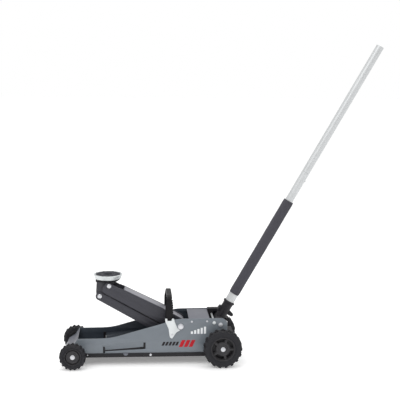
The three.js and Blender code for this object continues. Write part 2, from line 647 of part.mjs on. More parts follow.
function addHandleTubes() {
  const { radius, wall, start, seam, end, spigot } = TUBE;
  const inner = radius - wall;
  const hole = (radial) => barX(radial, 5, radius + 2, 0, BUTTON.at, 16);
  add(handle, 'lower_tube', cut(turnedZ(tubeProfile(inner, radius, start, seam), 20), hole(4.2)),
    ZINC());
  const upper = turnedZ([
    [inner - 2, seam - spigot], [inner - GAP, seam - spigot], [inner - GAP, seam + GAP],
    [radius, seam + GAP], [radius, end], [inner - 2, end], [inner - 2, seam - spigot],
  ], 20);
  add(handle, 'upper_tube', cut(upper, hole(4.2)), ZINC());
  const button = turnedZ([
    [0, BUTTON.inner], [BUTTON.radius, BUTTON.inner], [BUTTON.radius, BUTTON.outer - 1.5],
    [BUTTON.radius - 1.5, BUTTON.outer], [0, BUTTON.outer],
  ], 16).rotateY(Math.PI / 2).translate(0, 0, BUTTON.at);
  add(handle, 'spring_button', button, BRIGHT_STEEL());
  const sleeve = turnedZ([
    [radius + GAP, FOAM.start], [FOAM.radius - 2, FOAM.start], [FOAM.radius, FOAM.start + 2],
    [FOAM.radius, FOAM.end - 2], [FOAM.radius - 2, FOAM.end], [radius + GAP, FOAM.end],
    [radius + GAP, FOAM.start],
  ], 20);
  add(handle, 'foam_sleeve', sleeve, FOAM_RUBBER());
}

function addPump() {
  const { x, top, radius, head } = PLUNGER;
  const plunger = turnedZ([
    [0, 98], [radius, 98], [radius, top - 4], [head, top - 4], [head, top - 1], [head - 1, top],
    [0, top],
  ], 16).translate(x, 0, 0);
  add(jack, 'pump_plunger', plunger, BRIGHT_STEEL());
  const low = BLOCK.top + GAP;
  const spring = turnedZ(tubeProfile(radius + 0.5, head - 0.2, low, top - 4 - GAP), 14);
  add(jack, 'pump_spring', spring.translate(x, 0, 0), ZINC());
  const spindle = join(
    barX(4, 591, BLOCK.rear + 3, -22, 96, 12),
    barX(7.5, BLOCK.rear + GAP, BLOCK.rear + 8, -22, 96, 14),
    block([BLOCK.rear + 7, -26, 93], [BLOCK.rear + 18, -18, 99]),
  );
  add(jack, 'release_spindle', spindle, ZINC());
}

// ---------------------------------------------------------------- carrying handle

function addCarryHandle() {
  const { x, z, half, inner, outer, top, foot } = BAIL;
  const bend = 22;
  const inside = bend - (outer - inner);
  const shape = new THREE.Shape();
  shape.moveTo(-outer, foot);
  shape.lineTo(-outer, top - bend);
  shape.absarc(-outer + bend, top - bend, bend, Math.PI, Math.PI / 2, true);
  shape.absarc(outer - bend, top - bend, bend, Math.PI / 2, 0, true);
  shape.lineTo(outer, foot);
  shape.lineTo(inner, foot);
  shape.lineTo(inner, top - bend);
  shape.absarc(outer - bend, top - bend, inside, 0, Math.PI / 2, false);
  shape.absarc(-outer + bend, top - bend, inside, Math.PI / 2, Math.PI, false);
  shape.lineTo(-inner, foot);
  shape.closePath();
  const grip = sectionYZ(shape, x - half, x + half, 4);
  const trunnions = SIDES.map(([, sign]) => barY(5, ...layer(sign, outer - 4, PLATE_OUTER - GAP), x, z, 12));
  add(jack, 'carry_handle', join(grip, ...trunnions), BLACK_PAINT());
}

function addCarryBrackets() {
  const shape = outline([
    [347.3, 181], [355.5, 181], [356.5, 171.5], [372.3, 171.5], [373.5, 181], [381.5, 180.5],
    [384, 168], [394, 143.5], [405.5, 134], [391, 126.5], [379.5, 109], [374, 101.5], [367, 106],
    [364, 115], [361, 140], [348.5, 168],
  ]);
  for (const [side, sign] of SIDES) {
    const [low, high] = layer(sign, PLATE_OUTER + GAP, PLATE_OUTER + GAP + 2.5);
    const bracket = sheetXZ(shape, low, high);
    add(jack, `carry_bracket_${side}`, cut(bracket, barY(3.4, low - 1, high + 1, RIVET.x, RIVET.z, 12)),
      ZINC());
    const outside = PLATE_OUTER + GAP + 2.5 + GAP;
    add(jack, `bracket_rivet_${side}`, join(
      barY(3, ...layer(sign, PLATE_INNER - 1, outside + 1), RIVET.x, RIVET.z, 12),
      barY(5, ...layer(sign, outside, outside + 2.2), RIVET.x, RIVET.z, 12),
    ), BRIGHT_STEEL());
  }
}

// ---------------------------------------------------------------- assembly

addSidePlates();
addSkidPan();
addFrontCrossPlate();
addTopCover();
addChassisFasteners();
addLinkAnchor();
addHydraulics();
addWheelsAndAxles();
addLiftArm();
addLevellingLink();
addSaddle();
addRam();
addHandleSocket();
addHandleTubes();
addPump();
addCarryHandle();
addCarryBrackets();

export default jack;
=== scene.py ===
"""Looks of a hydraulic floor jack: painted steel, castings, knobbed wheels and a foam-sleeved grip.

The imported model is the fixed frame. Every piece here is shaped in millimetres, measured from the
front axle and the floor, and then laid over the frame. +X points to the operator's end, +Z up, and
the jack's left-hand side is at -Y.
"""

import json
import logging
import math
from collections.abc import Callable, Iterable, Sequence
from dataclasses import dataclass, field
from enum import Enum

import bmesh
import bpy
from mathutils import Matrix, Vector
from mathutils.geometry import interpolate_bezier


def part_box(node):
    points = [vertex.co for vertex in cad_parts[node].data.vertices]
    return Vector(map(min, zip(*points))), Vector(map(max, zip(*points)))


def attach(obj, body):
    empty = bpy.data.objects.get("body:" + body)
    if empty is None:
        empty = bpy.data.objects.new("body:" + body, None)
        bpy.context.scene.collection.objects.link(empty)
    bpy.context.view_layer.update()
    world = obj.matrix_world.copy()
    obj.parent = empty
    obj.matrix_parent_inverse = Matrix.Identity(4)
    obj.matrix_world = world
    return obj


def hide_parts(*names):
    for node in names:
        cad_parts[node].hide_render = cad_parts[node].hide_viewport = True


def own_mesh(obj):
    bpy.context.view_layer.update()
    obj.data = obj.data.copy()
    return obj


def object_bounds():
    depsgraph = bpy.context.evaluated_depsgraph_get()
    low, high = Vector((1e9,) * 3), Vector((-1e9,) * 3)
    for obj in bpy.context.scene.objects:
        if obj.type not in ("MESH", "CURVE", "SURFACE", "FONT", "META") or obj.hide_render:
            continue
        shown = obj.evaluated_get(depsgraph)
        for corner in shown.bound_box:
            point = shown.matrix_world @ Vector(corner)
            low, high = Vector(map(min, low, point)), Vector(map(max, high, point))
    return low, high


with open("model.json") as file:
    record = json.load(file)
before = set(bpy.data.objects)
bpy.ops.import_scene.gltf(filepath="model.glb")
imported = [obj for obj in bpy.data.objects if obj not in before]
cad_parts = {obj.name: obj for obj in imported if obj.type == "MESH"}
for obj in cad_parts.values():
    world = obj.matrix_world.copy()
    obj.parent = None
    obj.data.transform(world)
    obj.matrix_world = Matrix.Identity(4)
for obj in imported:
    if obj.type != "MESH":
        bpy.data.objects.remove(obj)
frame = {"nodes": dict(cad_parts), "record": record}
CAD_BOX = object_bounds()

LOG = logging.getLogger("jack")
MM = 0.001
JOIN_WITHIN = 1e-3  # corners nearer than this are one, in millimetres
FLAT_FACING = 0.999  # a face whose normal agrees with a sheet's by more than this is flat
# Faces that look at the jack's middle by more than INWARD_FACING get a piece's inside finish, which
# paints shade on them.
INWARD_FACING = 0.5  # the same, for a face that looks at the jack's middle
SMOOTH_ANGLE = 34.0

Pair = tuple[float, float]
Colour = tuple[int, int, int]


# ---------------------------------------------------------------- the frame's own places


def middle_of(node: str) -> Vector:
    """The middle of a frame node's box.

    Args:
        node: name of the node.

    Returns:
        The point in millimetres, measured from the front axle.
    """
    low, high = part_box(node)
    return (low + high) / 2 / MM - Vector((AXLE_X, 0, 0))


AXLE_X = sum(corner.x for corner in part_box("front_axle")) / 2 / MM
TO_FRAME = Matrix.Scale(MM, 4) @ Matrix.Translation((AXLE_X, 0, 0))

SIDES = {"left": -1, "right": 1}
PLATE_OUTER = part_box("side_plate_right")[1].y / MM
PLATE_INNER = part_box("side_plate_right")[0].y / MM
ARM_PIVOT = middle_of("arm_pivot_bolt")
YOKE_PIVOT = middle_of("yoke_bolt_left")
TIE_ROD = middle_of("tie_rod")
HEAD_PIN = middle_of("head_pin")
LINK_PIN = middle_of("link_front_pin")
LINK_REAR = middle_of("link_rear_pin")
ARM_LENGTH = (HEAD_PIN - ARM_PIVOT).xz.length
ARM_ANGLE = math.atan2(HEAD_PIN.z - ARM_PIVOT.z, ARM_PIVOT.x - HEAD_PIN.x)


def body_holding(node: str) -> str:
    """The body that carries a frame node.

    Args:
        node: name of the node.

    Returns:
        The body's name.
    """
    bodies = frame["record"]["behaviour"]["bodies"]
    return next(body for body, members in bodies.items() if node in members)


# ---------------------------------------------------------------- outlines


def arc(centre: Pair, radius: float, start: float, end: float, steps: int = 10) -> list[Pair]:
    """Points along an arc.

    Args:
        centre: middle of the circle.
        radius: its radius.
        start: first angle in degrees.
        end: last angle in degrees.
        steps: number of chords.

    Returns:
        The points, both ends among them.
    """
    points = []
    for step in range(steps + 1):
        angle = math.radians(start + (end - start) * step / steps)
        points.append((centre[0] + radius * math.cos(angle), centre[1] + radius * math.sin(angle)))
    return points


def circle(x: float, y: float, radius: float, steps: int = 24) -> list[Pair]:
    """A closed circle as an outline."""
    return arc((x, y), radius, 0, 360, steps)[:-1]


def curve_through(start: Pair, pull: Pair, push: Pair, end: Pair, steps: int = 10) -> list[Pair]:
    """Points along one bezier stretch.

    Args:
        start: first point.
        pull: handle of the first point.
        push: handle of the last point.
        end: last point.
        steps: number of chords.

    Returns:
        The points, both ends among them.
    """
    knots = [Vector((*point, 0)) for point in (start, pull, push, end)]
    return [(point.x, point.y) for point in interpolate_bezier(*knots, steps + 1)]


def rounded(
    points: Sequence[Pair], radius: float, closed: bool = True, steps: int = 3
) -> list[Pair]:
    """An outline with its corners eased.

    Args:
        points: corners in order.
        radius: how far the easing reaches from each corner.
        closed: whether the last corner runs on to the first.
        steps: chords in each eased corner.

    Returns:
        The eased outline.
    """
    eased: list[Pair] = []
    for index, point in enumerate(points):
        if not closed and index in (0, len(points) - 1):
            eased.append(point)
            continue
        corner = Vector(point)
        before = Vector(points[index - 1]) - corner
        after = Vector(points[(index + 1) % len(points)]) - corner
        reach = min(radius, before.length * 0.45, after.length * 0.45)
        first = corner + before.normalized() * reach
        last = corner + after.normalized() * reach
        for step in range(steps + 1):
            share = step / steps
            blend = first * (1 - share) ** 2 + corner * 2 * share * (1 - share) + last * share**2
            eased.append((blend.x, blend.y))
    return eased


def signed_area(points: Sequence[Pair]) -> float:
    """Area of an outline, positive when it runs anticlockwise."""
    pairs = zip(points, [*points[1:], points[0]])
    return sum(a[0] * b[1] - b[0] * a[1] for a, b in pairs) / 2


# ---------------------------------------------------------------- shaping

UPRIGHT = Matrix(((1, 0, 0, 0), (0, 0, -1, 0), (0, 1, 0, 0), (0, 0, 0, 1)))  # outlines in X and Z
CROSSWISE = Matrix(((0, 0, 1, 0), (1, 0, 0, 0), (0, 1, 0, 0), (0, 0, 0, 1)))  # outlines in Y and Z
LEVEL = Matrix.Identity(4)  # outlines in X and Y
ALONG_Y = Matrix.Rotation(-math.pi / 2, 4, "X")  # turned pieces whose axis runs to +Y
ALONG_X = Matrix.Rotation(math.pi / 2, 4, "Y")  # turned pieces whose axis runs to +X


def at(x: float = 0, y: float = 0, z: float = 0) -> Matrix:
    """A shift in millimetres."""
    return Matrix.Translation((x, y, z))


def heading(path: Sequence[Vector], index: int) -> Vector:
    """The way that a path runs at one of its points."""
    return path[min(index + 1, len(path) - 1)] - path[max(index - 1, 0)]


class Shell:
    """Closed surfaces in millimetres that together make one piece."""

    def __init__(self, place: Matrix | None = None) -> None:
        """Starts an empty shell.

        Args:
            place: where the shell's own frame lies, if not at the front axle.
        """
        self.mesh = bmesh.new()
        self.place = place or Matrix.Identity(4)

    def _face(self, corners: Iterable[bmesh.types.BMVert]) -> None:
        """Adds one face, unless its corners have run together.

        Args:
            corners: its corners in order.
        """
        distinct = list(dict.fromkeys(corners))
        if len(distinct) > 2:
            self.mesh.faces.new(distinct).smooth = True

    def _bridge(self, rings: Sequence[Sequence[bmesh.types.BMVert]], ends: bool = True) -> None:
        """Joins rings of corners, each to the next.

        Args:
            rings: the rings in order, all of one length.
            ends: whether the first and the last ring are closed with a face.
        """
        count = len(rings[0])
        for lower, upper in zip(rings, rings[1:]):
            for step in range(count):
                ahead = (step + 1) % count
                self._face((lower[step], lower[ahead], upper[ahead], upper[step]))
        if ends:
            self._face(reversed(rings[0]))
            self._face(rings[-1])

    def _keep(self, corners: Sequence[bmesh.types.BMVert], place: Matrix) -> None:
        """Moves newly made corners to their place."""
        bmesh.ops.transform(self.mesh, matrix=self.place @ place, verts=list(corners))

    def sheet(
        self,
        outline: Sequence[Pair],
        low: float,
        high: float,
        holes: Sequence[Sequence[Pair]] = (),
        bevel: float = 0.6,
        place: Matrix = UPRIGHT,
    ) -> "Shell":
        """Adds a flat sheet with eased edges.

        Args:
            outline: the sheet's edge.
            low: its lower face, along the direction that the outline doesn't use.
            high: its upper face.
            holes: outlines that are cut through it.
            bevel: easing of its edges.
            place: which way the outline lies.

        Returns:
            The shell itself.
        """
        curve = bpy.data.curves.new("outline", "CURVE")
        curve.dimensions, curve.fill_mode = "2D", "BOTH"
        curve.extrude = (high - low) / 2 - bevel
        curve.bevel_depth, curve.bevel_resolution, curve.offset = bevel, 1, -bevel
        for loop, turn in [(outline, 1), *((hole, -1) for hole in holes)]:
            ordered = list(loop) if signed_area(loop) * turn > 0 else list(reversed(loop))
            spline = curve.splines.new("POLY")
            spline.points.add(len(ordered) - 1)
            for point, (x, y) in zip(spline.points, ordered):
                point.co = (x, y, 0, 1)
            spline.use_cyclic_u = True
        holder = bpy.data.objects.new("outline", curve)
        flat = bpy.data.meshes.new_from_object(holder)
        bpy.data.objects.remove(holder)
        bpy.data.curves.remove(curve)
        middle = (low + high) / 2
        lift = at(z=-middle if place == UPRIGHT else middle)
        flat.transform(self.place @ place @ lift)
        joined = bmesh.new()
        joined.from_mesh(flat)
        bmesh.ops.remove_doubles(joined, verts=joined.verts, dist=JOIN_WITHIN)
        normal = (self.place @ place).to_3x3() @ Vector((0, 0, 1))
        for face in joined.faces:
            face.smooth = abs(face.normal.dot(normal)) < FLAT_FACING
        joined.to_mesh(flat)
        joined.free()
        self.mesh.from_mesh(flat)
        bpy.data.meshes.remove(flat)
        return self

    def turned(
        self,
        profile: Sequence[Pair],
        place: Matrix = LEVEL,
        steps: int = 48,
        swell: Callable[[float, float], float] | None = None,
    ) -> "Shell":
        """Adds a turned form.

        Args:
            profile: (radius, height) pairs. A ring repeats its first pair at the end.
            place: where its axis lies; the axis is the shell's Z before that.
            steps: flats round it.
            swell: multiplies the radius, from the angle and the height, for ribs and flutes.

        Returns:
            The shell itself.
        """
        rings = []
        made = []
        for radius, height in profile:
            if radius < 1e-6:
                ring = [self.mesh.verts.new((0, 0, height))] * steps
                made.append(ring[0])
            else:
                ring = []
                for step in range(steps):
                    angle = math.tau * step / steps
                    reach = radius * (swell(angle, height) if swell else 1)
                    ring.append(
                        self.mesh.verts.new(
                            (reach * math.cos(angle), reach * math.sin(angle), height)
                        )
                    )
                made.extend(ring)
            rings.append(ring)
        if profile[0] == profile[-1] and profile[0][0] > 1e-6:
            for vertex in rings.pop():
                made.remove(vertex)
                self.mesh.verts.remove(vertex)
            rings.append(rings[0])
        self._bridge(rings, ends=False)
        self._keep(made, place)
        return self

    def swept(
        self, path: Sequence[Vector], section: Callable[[float], Sequence[Pair]], across: Vector
    ) -> "Shell":
        """Adds a bar that follows a path lying in one plane.

        Args:
            path: points along its middle.
            section: gives the cross-section at a distance along the path, as (across, outwards).
            across: the direction square to the path's plane.

        Returns:
            The shell itself.
        """
        rings = []
        travelled = 0.0
        for index, point in enumerate(path):
            outwards = heading(path, index).normalized().cross(across)
            if index:
                travelled += (point - path[index - 1]).length
            rings.append([
                self.mesh.verts.new(
                    point + across * a + outwards * b
                ) for a, b in section(travelled)
            ])
        self._bridge(rings)
        self._keep([vertex for ring in rings for vertex in ring], LEVEL)
        return self

    def wire(self, path: Sequence[Vector], radius: float, sides: int = 8) -> "Shell":
        """Adds a round wire along any path.

        Args:
            path: points along its middle.
            radius: the wire's radius.
            sides: flats round it.

        Returns:
            The shell itself.
        """
        rings = []
        for index, point in enumerate(path):
            ahead = heading(path, index)
            side = ahead.cross(Vector((0, 0, 1))).normalized()
            up = side.cross(ahead).normalized()
            rings.append([
                self.mesh.verts.new(
                    point + (side * x + up * y)
                ) for x, y in circle(0, 0, radius, sides)
            ])
        self._bridge(rings)
        self._keep([vertex for ring in rings for vertex in ring], LEVEL)
        return self

    def slab(self, rows: Sequence[Sequence[Vector]], depth: Vector) -> "Shell":
        """Adds a curved sheet from a grid of points on its face.

        Args:
            rows: the grid, row by row.
            depth: from the face to the back.

        Returns:
            The shell itself.
        """
        face = [[self.mesh.verts.new(point) for point in row] for row in rows]
        back = [[self.mesh.verts.new(point + depth) for point in row] for row in rows]
        last_row, last = len(rows) - 1, len(rows[0]) - 1
        for row in range(last_row):
            for column in range(last):
                a, b = (row, column), (row, column + 1)
                c, d = (row + 1, column + 1), (row + 1, column)
                self._face(face[i][j] for i, j in (a, b, c, d))
                self._face(back[i][j] for i, j in (d, c, b, a))
        border = [(0, j) for j in range(last)] + [(i, last) for i in range(last_row)]
        border += [
            (last_row, j) for j in range(last, 0, -1)
        ] + [(i, 0) for i in range(last_row, 0, -1)]
        for (i, j), (k, m) in zip(border, [*border[1:], border[0]]):
            self._face((face[i][j], back[i][j], back[k][m], face[k][m]))
        self._keep([vertex for grid in (face, back) for row in grid for vertex in row], LEVEL)
        return self

    def lug(self, section: Sequence[Pair], middle: float, width: float, taper: float) -> "Shell":
        """Adds one raised block on a turned form, such as a tread block.

        Args:
            section: its (radius, height) outline.
            middle: its angle round the axis, in degrees.
            width: its width round the axis, at its foot.
            taper: the share of its width that is gone at its crown.

        Returns:
            The shell itself.
        """
        inner, outer = min(r for r, _ in section), max(r for r, _ in section)
        ends = []
        for sign in (-1, 1):
            end = []
            for radius, height in section:
                narrowed = 1 - taper * (radius - inner) / (outer - inner)
                angle = math.radians(middle) + sign * narrowed * width / 2 / radius
                end.append(
                    self.mesh.verts.new(
                        (radius * math.cos(angle), radius * math.sin(angle), height)
                    )
                )
            ends.append(end)
        self._bridge(ends)
        self._keep([*ends[0], *ends[1]], LEVEL)
        return self

    def block(self, low: Sequence[float], high: Sequence[float], bevel: float = 1.0) -> "Shell":
        """Adds a block with eased edges.

        Args:
            low: its lowest corner.
            high: its highest corner.
            bevel: easing of its edges.

        Returns:
            The shell itself.
        """
        outline = [(low[0], low[2]), (high[0], low[2]), (high[0], high[2]), (low[0], high[2])]
        return self.sheet(rounded(outline, bevel * 1.5, steps=2), low[1], high[1], bevel=bevel)

    def piece(
        self,
        name: str,
        finish: "Finish",
        stands_for: Sequence[str],
        body: str | None = None,
        bevel: float = 0,
        inside: "Finish | None" = None,
    ) -> bpy.types.Object:
        """Makes the shell one piece of the scene, riding on its body.

        Args:
            name: the piece's name.
            finish: its finish.
            stands_for: frame nodes that it replaces.
            body: the body that it rides on, if it replaces no node.
            bevel: easing of its sharp edges, in millimetres.
            inside: another finish for the faces that look towards the jack's middle; it paints
                shade on those faces.

        Returns:
            The new object.
        """
        bmesh.ops.transform(self.mesh, matrix=TO_FRAME, verts=self.mesh.verts)
        bmesh.ops.recalc_face_normals(self.mesh, faces=self.mesh.faces)
        mesh = bpy.data.meshes.new(name)
        # Faces that look towards the jack's middle take the inside finish: a painted shade.
        if inside:
            height = sum(v.co.z for v in self.mesh.verts) / len(self.mesh.verts)
            for face in self.mesh.faces:
                centre = face.calc_center_median()
                inwards = Vector((0, -centre.y, height - centre.z)).normalized()
                face.material_index = int(face.normal.dot(inwards) > INWARD_FACING)
        self.mesh.to_mesh(mesh)
        self.mesh.free()
        mesh.set_sharp_from_angle(angle=math.radians(SMOOTH_ANGLE))
        mesh.materials.append(finish.material())
        if inside:
            mesh.materials.append(inside.material())
        made = bpy.data.objects.new(name, mesh)
        bpy.context.scene.collection.objects.link(made)
        if bevel:
            ease_edges(made, bevel)
        if stands_for:
            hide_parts(*stands_for)
        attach(made, body or body_holding(stands_for[0]))
        LOG.info("%s: %d faces, %s", name, len(mesh.polygons), finish.name)
        return made


def ease_edges(item: bpy.types.Object, width: float) -> None:
    """Eases an object's sharp edges.

    Args:
        item: the object.
        width: how wide the eased edge is, in millimetres.
    """
    bevel = item.modifiers.new("eased edges", "BEVEL")
    bevel.width, bevel.segments = width * MM, 2
    bevel.limit_method, bevel.angle_limit = "ANGLE", math.radians(SMOOTH_ANGLE)
    bevel.use_clamp_overlap = True


# ---------------------------------------------------------------- shared effects


def new_group(name: str, inputs: dict[str, float], outputs: Sequence[str]) -> bpy.types.NodeTree:
    """Starts a shader node group.

    Args:
        name: the group's name.
        inputs: its number inputs and their first values.
        outputs: its number outputs.

    Returns:
        The group, with its input and output nodes in place.
    """
    group = bpy.data.node_groups.new(name, "ShaderNodeTree")
    for label, value in inputs.items():
        socket = group.interface.new_socket(label, in_out="INPUT", socket_type="NodeSocketFloat")
        socket.default_value = value
    for label in outputs:
        group.interface.new_socket(label, in_out="OUTPUT", socket_type="NodeSocketFloat")
    group.nodes.new("NodeGroupInput").name = "in"
    group.nodes.new("NodeGroupOutput").name = "out"
    return group


def node(
    tree: bpy.types.NodeTree, kind: str, links: dict[str | int, object], **settings: object
) -> bpy.types.Node:
    """Adds a node, sets it up and wires its inputs.

    Args:
        tree: the node tree.
        kind: the node's type, without its "ShaderNode" start.
        links: for each input, a socket to join or a value to set.
        settings: the node's own properties.

    Returns:
        The node.
    """
    made = tree.nodes.new("ShaderNode" + kind)
    for key, value in settings.items():
        setattr(made, key, value)
    for key, value in links.items():
        if isinstance(value, bpy.types.NodeSocket):
            tree.links.new(value, made.inputs[key])
        else:
            made.inputs[key].default_value = value
    return made


def sums(
    tree: bpy.types.NodeTree, operation: str, *values: object, clamp: bool = False
) -> bpy.types.NodeSocket:
    """One step of arithmetic between sockets or numbers, as the socket of its result."""
    made = node(tree, "Math", dict(enumerate(values)), operation=operation, use_clamp=clamp)
    return made.outputs[0]


def edge_wear_group() -> bpy.types.NodeTree:
    """Where paint or plating has rubbed off along edges.

    Returns:
        A group that puts out a mask from 0 to 1.
    """
    group = new_group("edge wear", {"Amount": 0.3, "Patch Size": 9.0}, ["Mask"])
    source, sink = group.nodes["in"], group.nodes["out"]
    place = node(group, "TexCoord", {})
    patches = node(
        group, "TexNoise", {"Vector": place.outputs["Object"], "Detail": 5.0, "Roughness": 0.65}
    )
    scale = sums(group, "DIVIDE", 1000.0, source.outputs["Patch Size"])
    group.links.new(scale, patches.inputs["Scale"])
    eased = node(group, "Bevel", {"Radius": 1.4 * MM}, samples=4)
    surface = node(group, "NewGeometry", {})
    agreement = node(
        group, "VectorMath", {
            0: eased.outputs["Normal"], 1: surface.outputs["Normal"]
        }, operation="DOT_PRODUCT"
    )
    sharp = node(
        group, "MapRange",
        {"Value": agreement.outputs["Value"], "From Min": 0.98, "From Max": 0.84},
    )
    broken = node(
        group, "MapRange", {"Value": patches.outputs["Fac"], "From Min": 0.42, "From Max": 0.62}
    )
    both = sums(group, "MULTIPLY", sharp.outputs["Result"], broken.outputs["Result"])
    group.links.new(
        sums(group, "MULTIPLY", both, source.outputs["Amount"], clamp=True), sink.inputs["Mask"]
    )
    return group


def settled_dust_group() -> bpy.types.NodeTree:
    """Fine dust that lies on faces that look up.

    Returns:
        A group that puts out a mask from 0 to 1.
    """
    group = new_group("settled dust", {"Amount": 0.2, "Cloud Size": 40.0}, ["Mask"])
    source, sink = group.nodes["in"], group.nodes["out"]
    place = node(group, "TexCoord", {})
    clouds = node(group, "TexNoise", {"Vector": place.outputs["Object"], "Detail": 6.0})
    scale = sums(group, "DIVIDE", 1000.0, source.outputs["Cloud Size"])
    group.links.new(scale, clouds.inputs["Scale"])
    upward = node(
        group, "SeparateXYZ", {"Vector": node(group, "NewGeometry", {}).outputs["Normal"]}
    )
    level = node(
        group, "MapRange", {"Value": upward.outputs["Z"], "From Min": 0.2, "From Max": 0.95}
    )
    patchy = sums(group, "MULTIPLY", level.outputs["Result"], clouds.outputs["Fac"])
    group.links.new(
        sums(group, "MULTIPLY", patchy, source.outputs["Amount"], clamp=True), sink.inputs["Mask"]
    )
    return group


class Grain(Enum):
    """The kinds of surface that the jack has."""

    SPRAYED = "sprayed paint"
    CAST = "sand casting"
    PLATED = "plated steel"
    TURNED = "turned steel"
    RUBBER = "moulded rubber"
    FOAM = "closed-cell foam"


def grain_group(kind: Grain) -> bpy.types.NodeTree:
    """The fine surface of one kind of material.

    Args:
        kind: which surface.

    Returns:
        A group that puts out a height, and a mottling value about 0.5.
    """
    group = new_group(kind.value, {"Grain Size": 1.0}, ["Height", "Mottling"])
    source, sink = group.nodes["in"], group.nodes["out"]
    place = node(group, "TexCoord", {}).outputs["Object"]
    if kind is Grain.TURNED:
        place = node(
            group, "Mapping", {"Vector": place, "Scale": (1.0, 0.06, 1.0)}
        ).outputs["Vector"]
    scale = sums(group, "DIVIDE", 1000.0, source.outputs["Grain Size"])
    if kind in (Grain.FOAM, Grain.CAST):
        cells = node(group, "TexVoronoi", {"Vector": place}, feature="SMOOTH_F1")
        group.links.new(scale, cells.inputs["Scale"])
        fine = cells.outputs["Distance"]
    else:
        specks = node(group, "TexNoise", {"Vector": place, "Detail": 4.0, "Roughness": 0.55})
        group.links.new(scale, specks.inputs["Scale"])
        fine = specks.outputs["Fac"]
    broad = node(
        group, "TexNoise", {"Vector": place, "Scale": 28.0, "Detail": 6.0, "Roughness": 0.6}
    )
    spread = node(
        group, "MapRange", {"Value": broad.outputs["Fac"], "From Min": 0.3, "From Max": 0.7}
    )
    group.links.new(fine, sink.inputs["Height"])
    mixed = sums(
        group, "MULTIPLY_ADD", fine, 0.35, sums(group, "MULTIPLY", spread.outputs["Result"], 0.65)
    )
    group.links.new(mixed, sink.inputs["Mottling"])
    return group


GROUPS: dict[str, bpy.types.NodeTree] = {}


def placed(
    tree: bpy.types.NodeTree, label: str, make: Callable[[], bpy.types.NodeTree], **values: float
) -> bpy.types.Node:
    """Places a shared effect in a material.

    Args:
        tree: the material's node tree.
        label: the effect's name.
        make: builds the effect the first time that it is wanted.
        values: its input values for this material, with _ for a space in their names.

    Returns:
        The group node.
    """
    if label not in GROUPS:
        GROUPS[label] = make()
    made = node(tree, "Group", {}, node_tree=GROUPS[label])
    for key, value in values.items():
        made.inputs[key.replace("_", " ")].default_value = value
    return made


def linear(colour: Colour) -> tuple[float, float, float, float]:
    """A colour as the linear values that a shader takes.

    Args:
        colour: red, green and blue from 0 to 255.

    Returns:
        The linear values, with full opacity.
    """
    shares = [value / 255 for value in colour]
    values = [s / 12.92 if s <= 0.04045 else ((s + 0.055) / 1.055) ** 2.4 for s in shares]
    return (*values, 1.0)


@dataclass(frozen=True)
class Finish:
    """One finish of the jack, and the record's slot that it belongs to."""

    name: str
    slot: str
    colour: Colour
    grain: Grain
    roughness: float
    metallic: float = 0.0
    coat: float = 0.0
    specular: float = 0.5
    size: float = 1.2  # of the grain, in millimetres
    bump: float = 0.15
    mottling: float = 0.12
    wear: float = 0.0
    worn: Colour = (176, 178, 182)
    dust: float = 0.12
    dust_colour: Colour = (150, 146, 140)

    def material(self) -> bpy.types.Material:
        """Finds the finish's material, or makes it the first time.

        Returns:
            The material.
        """
        found = bpy.data.materials.get(self.name)
        if found:
            return found
        made = bpy.data.materials.new(self.name)
        made.use_nodes = True
        tree = made.node_tree
        shader = tree.nodes["Principled BSDF"]
        shader.inputs["Coat Weight"].default_value = self.coat
        shader.inputs["Coat Roughness"].default_value = 0.18
        shader.inputs["Specular IOR Level"].default_value = self.specular
        grain = placed(
            tree, self.grain.value, lambda: grain_group(self.grain), Grain_Size=self.size
        )
        shade = node(
            tree, "MapRange",
            {
                "Value": grain.outputs["Mottling"], "To Min": 1 - self.mottling,
                "To Max": 1 + self.mottling
            },
        )
        base = node(
            tree, "VectorMath", {0: linear(self.colour)[:3], "Scale": shade.outputs["Result"]},
            operation="SCALE",
        )
        colour = base.outputs["Vector"]
        dull = node(
            tree, "MapRange",
            {
                "Value": grain.outputs["Mottling"],
                "To Min": self.roughness - 0.06, "To Max": self.roughness + 0.08,
            },
        ).outputs["Result"]
        if self.wear:
            wear = placed(tree, "edge wear", edge_wear_group, Amount=self.wear)
            colour = self._over(tree, wear.outputs["Mask"], colour, self.worn)
            dull = sums(tree, "MULTIPLY_ADD", wear.outputs["Mask"], -0.12, dull)
        if self.dust:
            dust = placed(tree, "settled dust", settled_dust_group, Amount=self.dust)
            colour = self._over(tree, dust.outputs["Mask"], colour, self.dust_colour)
            dull = sums(tree, "MULTIPLY_ADD", dust.outputs["Mask"], 0.3, dull)
        tree.links.new(colour, shader.inputs["Base Color"])
        tree.links.new(dull, shader.inputs["Roughness"])
        shader.inputs["Metallic"].default_value = self.metallic
        relief = node(
            tree, "Bump",
            {"Height": grain.outputs["Height"], "Strength": self.bump, "Distance": self.size * MM},
        )
        tree.links.new(relief.outputs["Normal"], shader.inputs["Normal"])
        return made

    @staticmethod
    def _over(
        tree: bpy.types.NodeTree, mask: bpy.types.NodeSocket, under: bpy.types.NodeSocket,
        over: Colour
    ) -> bpy.types.NodeSocket:
        """Lays a plain colour over another where a mask says."""
        mixed = node(tree, "Mix", {"Factor": mask, 6: under, 7: linear(over)}, data_type="RGBA")
        return mixed.outputs[2]


